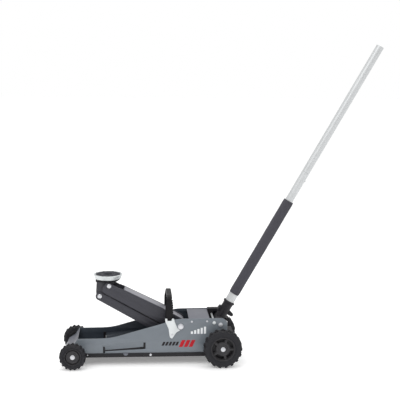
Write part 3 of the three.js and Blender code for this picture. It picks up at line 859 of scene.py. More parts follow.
PLATE_PAINT = Finish(
    "grey plate paint", "grey_paint", (111, 118, 125), Grain.SPRAYED, 0.42, coat=0.2, size=0.9,
    bump=0.05, mottling=0.07, wear=0.4, worn=(170, 175, 180), dust=0.06,
)
# Painted shade: a darker grey for the plates' inner faces, so that they look shaded; its edge wear
# and dust are real.
INNER_PAINTED_SHADE = Finish(
    "shaded inner paint", "grey_paint", (52, 60, 70), Grain.SPRAYED, 0.5, size=0.9, bump=0.05,
    wear=0.3, worn=(110, 116, 124), dust=0.04,
)
COVER_PAINT = Finish(
    "grey cover paint", "grey_paint", (98, 100, 110), Grain.SPRAYED, 0.42, coat=0.15, size=0.9,
    bump=0.05, mottling=0.07, wear=0.4, worn=(160, 164, 170), dust=0.04,
)
ARM_PAINT = Finish(
    "charcoal arm paint", "dark_paint", (57, 57, 64), Grain.SPRAYED, 0.5, specular=0.4, size=1.0,
    bump=0.07, mottling=0.1, wear=0.4, worn=(118, 120, 126), dust=0.05,
)
BRACKET_PAINT = Finish(
    "charcoal bracket paint", "black_paint", (54, 54, 60), Grain.SPRAYED, 0.5, specular=0.4,
    size=1.0,
    bump=0.07, mottling=0.1, wear=0.4, worn=(118, 120, 126), dust=0.05,
)
BLACK_PAINT = Finish(
    "black paint", "black_paint", (27, 26, 30), Grain.SPRAYED, 0.45, specular=0.3, size=1.0,
    bump=0.07, wear=0.4, worn=(96, 96, 100), dust=0.03,
)
CASTING = Finish(
    "black casting", "black_casting", (29, 28, 33), Grain.CAST, 0.5, specular=0.35, size=1.6,
    bump=0.3, wear=0.4, worn=(96, 96, 102), dust=0.04,
)
ZINC = Finish(
    "zinc plate", "zinc_plate", (212, 216, 217), Grain.PLATED, 0.36, metallic=0.55, size=2.4,
    bump=0.06,
    mottling=0.1, dust=0.04,
)
DARK_ZINC = Finish(
    "blackened zinc", "zinc_plate", (52, 52, 58), Grain.PLATED, 0.42, metallic=0.3, size=1.6,
    bump=0.06,
    dust=0.03,
)
BRIGHT = Finish(
    "bright steel", "bright_steel", (206, 207, 211), Grain.TURNED, 0.3, metallic=0.6, size=0.7,
    bump=0.05, mottling=0.06, dust=0.0,
)
TUBE_SILVER = Finish(
    "silver handle tube", "handle_tube", (199, 201, 202), Grain.PLATED, 0.4, metallic=0.3,
    coat=0.15,
    size=1.6, bump=0.04, mottling=0.05, dust=0.03,
)
FOAM = Finish(
    "black foam", "foam_sleeve", (66, 65, 72), Grain.FOAM, 0.88, size=0.9, bump=0.45, mottling=0.14,
    dust=0.06,
)
RUBBER = Finish(
    "tyre rubber", "tyre_rubber", (36, 36, 40), Grain.RUBBER, 0.62, specular=0.25, size=0.8,
    bump=0.22,
    mottling=0.14, wear=0.45, worn=(92, 92, 98), dust=0.05,
)
HUB_PLASTIC = Finish(
    "moulded hub plastic", "hub_plastic", (45, 44, 47), Grain.RUBBER, 0.46, specular=0.4, size=0.7,
    bump=0.1, mottling=0.1, wear=0.35, worn=(92, 92, 96), dust=0.05,
)
PAD_RUBBER = Finish(
    "saddle pad rubber", "pad_rubber", (58, 59, 65), Grain.RUBBER, 0.7, specular=0.3, size=0.8,
    bump=0.25, mottling=0.14, wear=0.7, worn=(128, 129, 136), dust=0.05,
)
GRIP_PLASTIC = Finish(
    "moulded grip", "grip_plastic", (16, 15, 18), Grain.RUBBER, 0.45, specular=0.2, size=0.9,
    bump=0.2,
    mottling=0.1, dust=0.03,
)
WHITE_DECAL = Finish(
    "white decal", "grey_paint", (232, 234, 236), Grain.SPRAYED, 0.4, bump=0.02, dust=0.0
)
RED_DECAL = Finish(
    "red decal", "grey_paint", (178, 22, 36), Grain.SPRAYED, 0.4, specular=0.2, bump=0.02, dust=0.0
)
DARK_DECAL = Finish(
    "dark decal", "grey_paint", (28, 24, 28), Grain.SPRAYED, 0.4, specular=0.25, bump=0.02, dust=0.0
)
# Painted light: a light grey for the arm's top web, which stands for overhead light on its upward
# face; its edge wear and dust are real.
ARM_WEB_PAINTED_LIGHT = Finish(
    "arm web paint with painted top light", "grey_paint", (138, 138, 146), Grain.SPRAYED, 0.42, coat=0.15, size=0.9,
    bump=0.05, mottling=0.07, wear=0.4, worn=(178, 180, 184), dust=0.06,
)


def dress(name: str, finish: Finish, bevel: float) -> None:
    """Gives a frame node, whose shape is right, its finish and eased edges.

    Args:
        name: the node.
        finish: its finish.
        bevel: how wide its eased edges are, in millimetres.
    """
    item = frame["nodes"][name]
    item.data.materials.clear()
    item.data.materials.append(finish.material())
    ease_edges(item, bevel)
    LOG.info("%s: dressed in %s", name, finish.name)


def facing(side: str, x: float, y: float, z: float) -> Matrix:
    """A place whose Z axis points away from the jack's middle.

    Args:
        side: left or right.
        x: distance behind the front axle.
        y: distance from the centre line.
        z: height.

    Returns:
        The place.
    """
    sign = SIDES[side]
    return at(x, sign * y, z) @ Matrix.Rotation(-sign * math.pi / 2, 4, "X")


def closed(profile: Sequence[Pair], easing: float = 0.0) -> list[Pair]:
    """A ring profile that returns to its start, with its corners eased if asked."""
    points = rounded(profile, easing, steps=2) if easing else list(profile)
    return [*points, points[0]]


def quadratic(start: Pair, control: Pair, end: Pair, steps: int = 8) -> list[Pair]:
    """Points along a quadratic curve.

    Args:
        start: first point.
        control: where its two end tangents meet.
        end: last point.
        steps: number of chords.

    Returns:
        The points, both ends among them.
    """
    pull = tuple(a + (c - a) * 2 / 3 for a, c in zip(start, control))
    push = tuple(b + (c - b) * 2 / 3 for b, c in zip(end, control))
    return curve_through(start, pull, push, end, steps)


def domed_pin(end: float, seat: float, shank: float, dome: float = 2.4) -> list[Pair]:
    """The profile of a pin with a domed head at each end.

    Args:
        end: from its middle to the top of a head.
        seat: from its middle to the underside of a head.
        shank: radius between the heads.
        dome: how far each head is rounded over.

    Returns:
        The profile, for turning.
    """
    head = [
        (0, end), (5.5, end - 0.2), (7.8, end - 1.2), (8.8, end - dome), (8.8, seat), (shank, seat)
    ]
    return [*((radius, -height) for radius, height in head), *reversed(head)]


# ---------------------------------------------------------------- wheels


@dataclass
class Wheel:
    """A knobbed wheel on its axle, seen from outside: heights run from its outer face inwards."""

    end: str
    side: str
    rim: float
    boss: float
    spokes: int = 0
    lugs: int = 18
    lug_depth: float = 4.0
    lug_share: float = 0.47  # of the tread's pitch that one lug takes up
    spoke_start: float = 69.0
    disc: Pair = (-17.0, -11.0)
    backing: Pair = (-28.0, -25.0)
    radius: float = field(init=False)
    width: float = field(init=False)
    place: Matrix = field(init=False)

    def __post_init__(self) -> None:
        """Takes the tyre's size and place from the frame."""
        low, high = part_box(f"{self.end}_tyre_{self.side}")
        self.width = (high.y - low.y) / MM
        centre = middle_of(f"{self.end}_tyre_{self.side}")
        self.radius = centre.z
        outer = max(abs(low.y), abs(high.y)) / MM
        self.place = facing(self.side, centre.x, outer, centre.z)

    def build(self) -> None:
        """Makes the tyre, the wheel centre and the axle cap."""
        self.tyre()
        if self.spokes:
            self.spoked_centre()
        else:
            self.dished_centre()
        self.cap()

    def tyre(self) -> None:
        """The tyre: a carcass, two staggered rows of shoulder lugs and a row of crown blocks."""
        top, width, bead = self.radius, self.width, self.rim + 0.3
        tread = top - self.lug_depth
        outer_side = [
            (bead, -1.8), (bead + 2.4, -0.7), (bead + 3.2, -2.2), (bead + 4.6, -2.2),
            (bead + 5.6, -0.9), (top - 12, -0.4), (tread - 2.6, -1.6), (tread, -5.5),
        ]
        inner_side = [(radius, -width - height) for radius, height in reversed(outer_side)]
        shell = Shell(self.place).turned(closed(outer_side + inner_side), steps=72)
        shoulder = [
            (top - 10.5, -1.6), (top - 8.5, -0.1), (top - 3.4, -0.2), (top - 0.1, -3.4),
            (top - 0.1, -0.33 * width), (tread - 0.8, -0.35 * width), (tread - 0.8, -5.0),
        ]
        far_shoulder = [(radius, -width - height) for radius, height in reversed(shoulder)]
        crown = [
            (tread - 0.8, -0.39 * width), (top - 0.4, -0.41 * width), (top - 0.4, -0.59 * width),
            (tread - 0.8, -0.61 * width),
        ]
        pitch = 360 / self.lugs
        foot = math.tau * top / self.lugs * self.lug_share
        for index in range(self.lugs):
            angle = pitch * index
            shell.lug(shoulder, angle, foot, 0.2)
            shell.lug(far_shoulder, angle + pitch / 2, foot, 0.2)
            shell.lug(crown, angle + pitch / 4, foot * 0.8, 0.12)
            shell.lug(crown, angle + pitch * 3 / 4, foot * 0.8, 0.12)
        node_name = f"{self.end}_tyre_{self.side}"
        shell.piece(f"knobbed_tyre_{self.end}_{self.side}", RUBBER, [node_name], bevel=0.5)

    def spoked_centre(self) -> None:
        """The rear wheel centre: a barrel, a windowed disc with ribs, and a ringed boss."""
        rim, boss, inner = self.rim, self.boss, -self.width + 5
        shell = Shell(self.place)
        shell.turned(closed([
            (rim, -2.6), (rim - 2.6, -2.2), (rim - 4.2, -4.4), (rim - 4.8, -8), (rim - 4.8, inner),
            (rim, inner),
        ]), steps=64)
        pitch = 360 / self.spokes
        windows = []
        for index in range(self.spokes):
            spoke = self.spoke_start + pitch * index
            middle = spoke + pitch / 2
            windows.append(rounded(
                arc((0, 0), rim - 6.2, middle - 28, middle + 28, 8)
                + arc((0, 0), boss + 3, middle + 24, middle - 24, 6), 1.2, steps=1,
            ))
            turn = math.radians(spoke)
            rib = [
                (x * math.cos(turn) - y * math.sin(turn), x * math.sin(turn) + y * math.cos(turn))
                for x, y in ((boss - 2, -3.4), (rim - 3.5, -2.2), (rim - 3.5, 2.2), (boss - 2, 3.4))
            ]
            shell.sheet(rib, -12, -6.4, bevel=1.0, place=LEVEL)
        windows.append(circle(0, 0, 11))
        shell.sheet(circle(0, 0, rim - 3.6, 64), *self.disc, windows, 0.8, LEVEL)
        shell.sheet(circle(0, 0, rim - 4.2, 64), *self.backing, [circle(0, 0, 12)], 0.8, LEVEL)
        shell.turned(closed([
            (8.6, inner), (18, inner), (18, -17), (boss, -15), (boss + 1.8, -11),
            (boss + 1.2, -7.4), (boss - 1, -6.0), (boss - 3, -7.6), (boss - 7.4, -7.6),
            (boss - 8.6, -6.0), (12.4, -5.4), (11.4, -4.4), (8.6, -4.4),
        ]), steps=56)
        self._finish_centre(shell)

    def dished_centre(self) -> None:
        """The front wheel centre: a deep dish with a ringed boss."""
        rim, boss, inner = self.rim, self.boss, -self.width + 5
        shell = Shell(self.place)
        shell.turned(closed([
            (8.6, inner), (15, inner), (15, -15), (rim - 4, -15), (rim - 4, inner), (rim, inner),
            (rim, -2.4), (rim - 2, -2.0), (rim - 3.4, -4.6), (rim - 4.2, -10.5),
            (boss + 5.6, -10.5), (boss + 4.6, -5.4), (boss + 2.6, -4.4), (boss + 0.6, -5.6),
            (boss - 2.4, -6.4), (boss - 3.6, -5.0), (12.4, -5.0), (11.4, -4.2), (8.6, -4.2),
        ]), steps=56)
        self._finish_centre(shell)

    def _finish_centre(self, shell: Shell) -> None:
        """Makes a wheel centre's shell a piece.

        Args:
            shell: the finished shell.
        """
        shell.piece(
            f"wheel_centre_{self.end}_{self.side}", HUB_PLASTIC, [f"{self.end}_hub_{self.side}"],
            bevel=0.4,
        )

    def cap(self) -> None:
        """The pressed cap that holds the wheel on its axle."""
        Shell(self.place).turned([
            (0, -3.7), (8.9, -3.7), (9.0, -2.7), (8.3, -2.0), (6.9, -1.9), (6.3, -0.9), (4.8, -0.2),
            (0, -0.05),
        ], steps=40).piece(
            f"push_cap_{self.end}_{self.side}", BRIGHT, [f"{self.end}_axle_cap_{self.side}"]
        )


# ---------------------------------------------------------------- chassis


@dataclass
class Fastener:
    """A hexagon head with its washer, or a round screw head, on the outside of a side plate."""

    x: float
    z: float
    radius: float
    head: float
    washer: float = 1.5
    stand: float = 0.3

    def hexagon(self, shell: Shell, side: str) -> Shell:
        """Adds the washer and the hexagon head to a shell.

        Args:
            shell: what it is added to.
            side: left or right.

        Returns:
            The shell.
        """
        seat = PLATE_OUTER + self.stand
        place = facing(side, self.x, seat, self.z)
        shell.turned([
            (0, 0), (self.radius * 1.12, 0), (self.radius * 1.12, self.washer - 0.3),
            (self.radius * 1.08, self.washer), (0, self.washer),
        ], place, 36)
        hexagon = circle(0, 0, self.radius, 6)
        across = self.radius * math.cos(math.pi / 6)
        top = self.washer + self.head
        low_corner = top - (self.radius - across) * 0.6
        shell.place = place
        shell.sheet(hexagon, self.washer - 0.2, low_corner, bevel=0.25, place=LEVEL)
        shell.turned([
            (0, low_corner - 0.5), (across + 0.35, low_corner - 0.5), (across - 0.5, top - 0.1),
            (across - 1, top), (0, top),
        ], LEVEL, 36)
        shell.place = Matrix.Identity(4)
        return shell

    def button(self, shell: Shell, side: str, out: float) -> Shell:
        """Adds a round slotless head to a shell.

        Args:
            shell: what it is added to.
            side: left or right.
            out: distance of its seat from the centre line.

        Returns:
            The shell.
        """
        shell.turned([
            (0, -0.5), (self.radius, -0.5), (self.radius, self.head * 0.3), (
                self.radius * 0.86, self.head * 0.75
            ),
            (self.radius * 0.5, self.head), (0, self.head),
        ], facing(side, self.x, out, self.z), 28)
        return shell


@dataclass
class SidePlate:
    """One side plate, with a flap pressed inwards along a three-sided slot, and black sheets of
    painted shade behind the slot's ends.
    """

    side: str
    bottom: float = 33.3
    rear: float = 586.3
    lobe: float = 26.0
    press: float = 6.5
    flap_sheet: float = 2.6
    trunnion_hole: float = 5.9
    # Where the black sheets of painted shade stand behind the slot: left, right, foot and head of
    # each.
    shade_sheets: tuple[tuple[float, float, float, float], ...] = (
        (109.6, 119.4, 45.5, 87.0), (265.6, 275.6, 59.0, 97.0),
    )

    def outline(self) -> list[Pair]:
        """The plate's edge, from its lower front corner over the top to its lower rear corner.

        Returns:
            The outline.
        """
        front = [(-37, self.bottom), (-39.7, 36), (-22.9, 65.6), (-0.8, 78.4), (15, 104)]
        yoke = (YOKE_PIVOT.x, YOKE_PIVOT.z)
        return [
            *rounded(front, 4, closed=False), *quadratic((100, 104.6), (140, 104.8), (170, 113.3)),
            *curve_through((340, 161), (366, 170), (382, 178.6), (425, 178.6), 14),
            *arc(yoke, self.lobe, 90, 0, 14), (self.rear, 70), (self.rear, self.bottom),
        ]

    def build(self) -> None:
        """Makes the plate and its flap as one piece, and the black sheets of painted shade behind
        the slot.
        """
        sign = SIDES[self.side]
        inner, outer = sorted((sign * PLATE_INNER, sign * PLATE_OUTER))
        opening = [
            (112, 47.6), (119.5, 47.6), (119.5, 54.5), (265.5, 61.5), (273.5, 62), (273.5, 87),
            (263, 96), (118, 84.5), (112, 76),
        ]
        trunnion = circle(BAIL_PIVOT.x, BAIL_PIVOT.z, self.trunnion_hole, 20)
        holes = [rounded(opening, 1.5, steps=2), trunnion]
        shell = Shell().sheet(self.outline(), inner, outer, holes, 0.9)
        hinge, shoulder = ((117, 84.8), (264, 96.4)), ((111.6, 71.4), (273.9, 87.4))
        narrow, foot = ((119.8, 71.4), (265.2, 87.4)), ((119.8, 57.4), (265.2, 68.4))
        inwards = Vector((0, -sign * self.flap_sheet, 0))
        shell.slab(self._pressed(hinge, shoulder, 0.0, 0.42, sign), inwards)
        shell.slab(self._pressed(narrow, foot, 0.42, 1.0, sign), inwards)
        # The plate's inner faces take the darker inner finish, a painted shade.
        shell.piece(
            f"pressed_side_plate_{self.side}", PLATE_PAINT, [f"side_plate_{self.side}"],
            inside=INNER_PAINTED_SHADE,
        )
        # Black sheets just inside the plate, behind the slot's upright ends: painted shade seen
        # through the slot.
        shade_sheet = Shell()
        low, high = sorted((sign * (PLATE_INNER - 0.2), sign * (PLATE_INNER - 2.0)))
        for left, right, foot_z, head_z in self.shade_sheets:
            shade_sheet.block((left, low, foot_z), (right, high, head_z), 0.4)
        shade_sheet.piece(f"slot_shade_sheet_{self.side}", BLACK_PAINT, [], body="chassis")

    def _pressed(
        self, top: tuple[Pair, Pair], low: tuple[Pair, Pair], start: float, end: float, sign: int
    ) -> list[list[Vector]]:
        """The grid of a stretch of the flap.

        Args:
            top: ends of its upper edge.
            low: ends of its lower edge.
            start: share of the press at its upper edge's place.
            end: the same at its lower edge.
            sign: which side the plate is on.

        Returns:
            Rows of points.
        """
        rows, columns = 10, 16
        grid = []
        for row in range(rows + 1):
            down = row / rows
            share = start + (end - start) * down
            depth = 0.15 + self.press * share * share * (3 - 2 * share)
            left = Vector(top[0]).lerp(Vector(low[0]), down)
            right = Vector(top[1]).lerp(Vector(low[1]), down)
            line = [left.lerp(right, column / columns) for column in range(columns + 1)]
            grid.append([Vector((p.x, sign * (PLATE_OUTER - depth), p.y)) for p in line])
        return grid


@dataclass
class Decals:
    """Plain painted marks on a side plate: white bars, and a slanted stripe in two colours."""

    side: str
    film: float = 0.2
    slant: float = 0.45

    def build(self) -> None:
        """Makes the three marks."""
        bars = [(446 + 12.5 * step, 119.0, 8.0, 10.0 + 4.5 * step) for step in range(5)]
        dark = [(334 + 13.0 * step, 74.0, 9.0, 15.0) for step in range(5)]
        red = [(400 + 19.0 * step, 68.0, 14.0, 27.0) for step in range(3)]
        self._film("load_bars", bars, 0.0, WHITE_DECAL)
        self._film("dark_stripe", dark, self.slant, DARK_DECAL)
        self._film("red_stripe", red, self.slant, RED_DECAL)

    def _film(
        self, name: str, marks: Sequence[tuple[float, float, float, float]], slant: float,
        finish: Finish
    ) -> None:
        """Makes one colour of the marks.

        Args:
            name: the piece's name, without its side.
            marks: for each, its lower left corner, width and height.
            slant: how far it leans for each unit of height.
            finish: its colour.
        """
        sign = SIDES[self.side]
        shell = Shell()
        for x, z, width, height in marks:
            lean = slant * height
            corners = [
                (x, z), (x + width, z), (x + width + lean, z + height), (x + lean, z + height)
            ]
            low, high = sorted((sign * (PLATE_OUTER - 0.05), sign * (PLATE_OUTER + self.film)))
            shell.sheet(rounded(corners, 1.2, steps=2), low, high, bevel=0.04)
        shell.piece(f"{name}_{self.side}", finish, [], body="chassis")


@dataclass
class Chassis:
    """The fixed steelwork: side plates, pan, covers, fasteners and the hydraulic unit."""

    pan_bottom: float = 30.5
    pan_top: float = 47.0
    sheet: float = 2.5
    cover_top: float = 177.8

    def build(self) -> None:
        """Makes every fixed piece."""
        for side in SIDES:
            SidePlate(side).build()
            Decals(side).build()
            self.small_screws(side)
            self.carry_bracket(side)
        self.skid_pan()
        self.top_cover()
        self.bolts()
        self.hydraulics()
        for name, finish, bevel in (
            ("front_cross_plate", COVER_PAINT, 0.9), ("link_anchor", BLACK_PAINT, 0.8),
            ("arm_spacer_left", BLACK_PAINT, 0.6), ("arm_spacer_right", BLACK_PAINT, 0.6),
            ("link_rear_pin", BRIGHT, 0.6), ("pump_block", CASTING, 2.0),
            ("front_axle", ZINC, 0.6), ("rear_axle", ZINC, 0.6),
        ):
            dress(name, finish, bevel)

    def skid_pan(self) -> None:
        """The pan under the chassis, with its edges turned up outside the side plates."""
        low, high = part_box("skid_pan")
        outer = high.y / MM
        flange, floor = outer - self.sheet, self.pan_bottom + self.sheet
        outside = rounded(
            [
                (-outer, self.pan_top), (-outer, self.pan_bottom), (outer, self.pan_bottom),
                (outer, self.pan_top)
            ],
            4.5, closed=False,
        )
        inside = rounded(
            [(flange, self.pan_top), (flange, floor), (-flange, floor), (-flange, self.pan_top)], 2,
            closed=False,
        )
        shell = Shell().sheet(
            [*outside, *inside], low.x / MM - AXLE_X, high.x / MM - AXLE_X, bevel=0.7,
            place=CROSSWISE
        )
        shell.piece("folded_skid_pan", BLACK_PAINT, ["skid_pan"])

    def top_cover(self) -> None:
        """The bent cover between the side plates, over the hydraulic unit; its inner faces are
        black, a painted shade.
        """
        low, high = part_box("top_cover")
        half, foot = high.y / MM, low.z / MM
        inner, ceiling = half - self.sheet, self.cover_top - self.sheet
        outside = rounded(
            [
                (-half, foot), (-half, self.cover_top), (half, self.cover_top), (half, foot)
            ], 7, closed=False
        )
        inside = rounded(
            [(inner, foot), (inner, ceiling), (-inner, ceiling), (-inner, foot)], 5, closed=False
        )
        shell = Shell().sheet(
            [*outside, *inside], low.x / MM - AXLE_X, high.x / MM - AXLE_X, bevel=0.8,
            place=CROSSWISE
        )
        # The cover's inner faces are black: painted shade under the cover.
        shell.piece("bent_top_cover", COVER_PAINT, ["top_cover"], inside=BLACK_PAINT)

    def small_screws(self, side: str) -> None:
        """The cover's screws, the pan's screws and the plate's lip that is hooked over the pan.

        Args:
            side: left or right.
        """
        shell = Shell()
        for x, z in ((449.4, 167.1), (507.9, 168.0)):
            Fastener(x, z, radius=3.9, head=2.2).button(shell, side, PLATE_OUTER)
        outside = PLATE_OUTER + 0.3 + self.sheet
        for x, z, radius in ((292.6, 39.6, 4.7), (53.5, 41.2, 2.6)):
            Fastener(x, z, radius, head=2.0).button(shell, side, outside)
        shell.piece(f"small_screws_{side}", BRIGHT, [], body="chassis")
        low, high = sorted((SIDES[side] * (outside - 0.1), SIDES[side] * (outside + 1.0)))
        lip = Shell().sheet(arc((198, self.pan_top), 9.5, 180, 360, 12), low, high, bevel=0.4)
        lip.piece(f"hooked_lip_{side}", COVER_PAINT, [], body="chassis")

    def bolts(self) -> None:
        """The arm pivot bolt, the yoke bolts and the tie rod, each with its head or nut."""
        arm = Fastener(ARM_PIVOT.x, ARM_PIVOT.z, radius=9.8, head=5.0)
        shell = self.shank(ARM_PIVOT, radius=9, steps=32)
        arm.hexagon(shell, "left").piece("pivot_bolt", BRIGHT, ["arm_pivot_bolt"])
        arm.hexagon(Shell(), "right").piece("pivot_nut", BRIGHT, ["arm_pivot_nut"])
        tie = Fastener(TIE_ROD.x, TIE_ROD.z, radius=6.0, head=3.0)
        shell = self.shank(TIE_ROD, radius=4, steps=24)
        tie.hexagon(shell, "left").piece("stay_rod", ZINC, ["tie_rod"])
        tie.hexagon(Shell(), "right").piece("stay_rod_nut", ZINC, ["tie_rod_nut"])
        yoke = Fastener(YOKE_PIVOT.x, YOKE_PIVOT.z, radius=7.6, head=4.0)
        for side in SIDES:
            place = facing(side, YOKE_PIVOT.x, 0, YOKE_PIVOT.z)
            shell = Shell().turned([(0, 52), (7.5, 52), (7.5, 79.5), (0, 79.5)], place, 28)
            yoke.hexagon(shell, side).piece(f"yoke_screw_{side}", BRIGHT, [f"yoke_bolt_{side}"])

    @staticmethod
    def shank(place: Vector, radius: float, steps: int) -> Shell:
        """The plain rod of a bolt that crosses the jack from plate to plate.

        Args:
            place: the middle of the rod.
            radius: its radius.
            steps: flats round it.

        Returns:
            A shell that holds the rod.
        """
        left, right = -PLATE_OUTER - 0.5, PLATE_OUTER - 0.2
        profile = [(0, left), (radius, left), (radius, right), (0, right)]
        return Shell().turned(profile, at(place.x, 0, place.z) @ ALONG_Y, steps)

    def hydraulics(self) -> None:
        """The cylinder and the oil reservoir under the top cover."""
        low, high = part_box("hydraulic_cylinder")
        front, rear = low.x / MM - AXLE_X, high.x / MM - AXLE_X
        radius, height = (high.z - low.z) / 2 / MM, (high.z + low.z) / 2 / MM
        barrel = Shell().turned(closed([
            (14.6, front), (radius - 1.5, front), (radius, front + 1.5), (radius, front + 10),
            (
                radius - 1.2, front + 11
            ), (radius - 1.2, rear - 9), (radius, rear - 8), (radius, rear - 1),
            (radius - 1, rear), (0, rear), (0, rear - 4), (14.6, rear - 4),
        ]), at(z=height) @ ALONG_X, 40)
        barrel.piece("cylinder_barrel", CASTING, ["hydraulic_cylinder"])
        low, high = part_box("oil_reservoir")
        half = high.y / MM
        outline = [
            (-half, low.z / MM), (half, low.z / MM), (half, high.z / MM), (-half, high.z / MM)
        ]
        tank = Shell().sheet(
            rounded(
                outline, 13, steps=5
            ), low.x / MM - AXLE_X, high.x / MM - AXLE_X, bevel=3, place=CROSSWISE
        )
        tank.turned(
            [(0, 0), (7, 0), (7, 1.6), (6, 2.4), (0, 2.4)], at(478, 0, high.z / MM - 0.5), 6
        )
        tank.piece("oil_tank", CASTING, ["oil_reservoir"])

    def carry_bracket(self, side: str) -> None:
        """A zinc bracket that holds the carrying handle, with its rivet.

        Args:
            side: left or right.
        """
        outline = [
            (347.3, 181), (355.5, 181), (356.5, 171.5), (372.3, 171.5), (373.5, 181),
            (381.5, 180.5), (384, 168), (394, 143.5), (405.5, 134), (391, 126.5), (379.5, 109),
            (374, 101.5), (367, 106), (364, 115), (361, 140), (348.5, 168),
        ]
        seat = PLATE_OUTER + 0.3
        low, high = sorted((SIDES[side] * seat, SIDES[side] * (seat + self.sheet)))
        Shell().sheet(rounded(outline, 2.5, steps=3), low, high, bevel=0.6).piece(
            f"handle_bracket_{side}", ZINC, [f"carry_bracket_{side}"]
        )
        rivet = middle_of(f"bracket_rivet_{side}")
        head = Fastener(rivet.x, rivet.z, radius=5.0, head=2.2)
        head.button(Shell(), side, seat + self.sheet).piece(
            f"rivet_head_{side}", BRIGHT, [f"bracket_rivet_{side}"]
        )


# ---------------------------------------------------------------- lift arm and saddle


@dataclass
class LiftArm:
    """The lift arm and the levelling link under it."""

    outer: float = 38.5
    sheet: float = 5.0
    crank_radius: float = 52.0
    crank_middle: float = 11.0
    link_outer: float = 31.0
    link_sheet: float = 4.0
    link_half: float = 14.0

    @property
    def place(self) -> Matrix:
        """The arm's own frame: its pivot, with X along the arm."""
        return at(ARM_PIVOT.x, 0, ARM_PIVOT.z) @ Matrix.Rotation(ARM_ANGLE, 4, "Y")

    def build(self) -> None:
        """Makes the arm's plates and pins and the link."""
        for side in SIDES:
            self.plate(side)
        self.head_pin()
        self.link()
        self.web()
        dress("arm_hub", ARM_PAINT, 0.6)
        dress("crank_pin", BRIGHT, 0.8)
        dress("ram", BRIGHT, 1.2)

    def plate(self, side: str) -> None:
        """One arm plate: a deep bar with a blunt nose and a crank below its pivot.

        Args:
            side: left or right.
        """
        turn = math.radians(self.crank_middle)
        crank = (self.crank_radius * math.sin(turn), -self.crank_radius * math.cos(turn))
        nose = -ARM_LENGTH
        outline = [
            (-90, 21.4), (-254, 13.9), (-274, 11.1), *quadratic(
                (nose - 4, 11), (nose - 17, 9), (nose - 18, -8)
            ),
            *quadratic((nose - 18, -8), (nose - 19, -31), (nose - 4, -33))[1:],
            *quadratic((-70, -35), (-30, -37), (crank[0] - 12, crank[1]), 6),
            *arc(crank, 12, 180, 360, 12)[1:], (16, -14), *arc((0, 2.5), 18, -23, 90, 10),
        ]
        holes = [circle(0, 0, 9.5), circle(nose, 0, 8.4), circle(*crank, 5.4, 16)]
        low, high = sorted((SIDES[side] * (self.outer - self.sheet), SIDES[side] * self.outer))
        Shell(self.place).sheet(outline, low, high, holes, 1.0).piece(
            f"arm_side_{side}", ARM_PAINT, [f"arm_plate_{side}"]
        )

    def web(self) -> None:
        """The sheet between the plates: it curls down behind the pivot and turns down in front. Its
        light grey is painted light on its upward face.
        """
        half, thick, hub = self.outer - self.sheet - 2.0, 3.0, 13.8
        outside = [
            (-251, 6), (-250.4, 13.4), (-248, 14.6), (-90, 20.9),
            *arc((0, 0), hub + thick, 90, 12, 8)
        ]
        inside = [
            *arc((0, 0), hub, 12, 90, 8), (-90, 20.9 - thick), (-247.4, 14.4 - thick), (-248, 6)
        ]
        shell = Shell(self.place).sheet([*outside, *inside], -half, half, bevel=0.7)
        shell.piece("arm_top_web", ARM_WEB_PAINTED_LIGHT, ["arm_web"])

    def head_pin(self) -> None:
        """The pin at the arm's nose, with a domed head at each end."""
        profile = domed_pin(end=self.outer + 4, seat=self.outer - 0.3, shank=8, dome=2.6)
        place = self.place @ at(-ARM_LENGTH) @ ALONG_Y
        Shell().turned(profile, place, 36).piece("saddle_pin", BRIGHT, ["head_pin"])

    def link(self) -> None:
        """The levelling link: two bars joined by a web along their lower edges."""
        half, far = self.link_half, -ARM_LENGTH
        outline = [
            (-28, half), *arc((far, 0), 16, 111.6, 262, 12), (-64, -20.5), (-36, -18.5),
            *arc((0, 0), 10.5, -100.8, 100.8, 14),
        ]
        holes = [circle(0, 0, 6.5, 18), circle(far, 0, 6.7, 18)]
        place = at(LINK_REAR.x, 0, LINK_REAR.z) @ Matrix.Rotation(ARM_ANGLE, 4, "Y")
        shell = Shell(place)
        for sign in SIDES.values():
            low, high = sorted((sign * (self.link_outer - self.link_sheet), sign * self.link_outer))
            shell.sheet(outline, low, high, holes, 0.9)
        web = self.link_outer - 1
        shell.block((far + 52, -web, -half + 0.8), (-60, web, -half + 4), 0.8)
        shell.piece("levelling_bars", ARM_PAINT, ["levelling_link"])


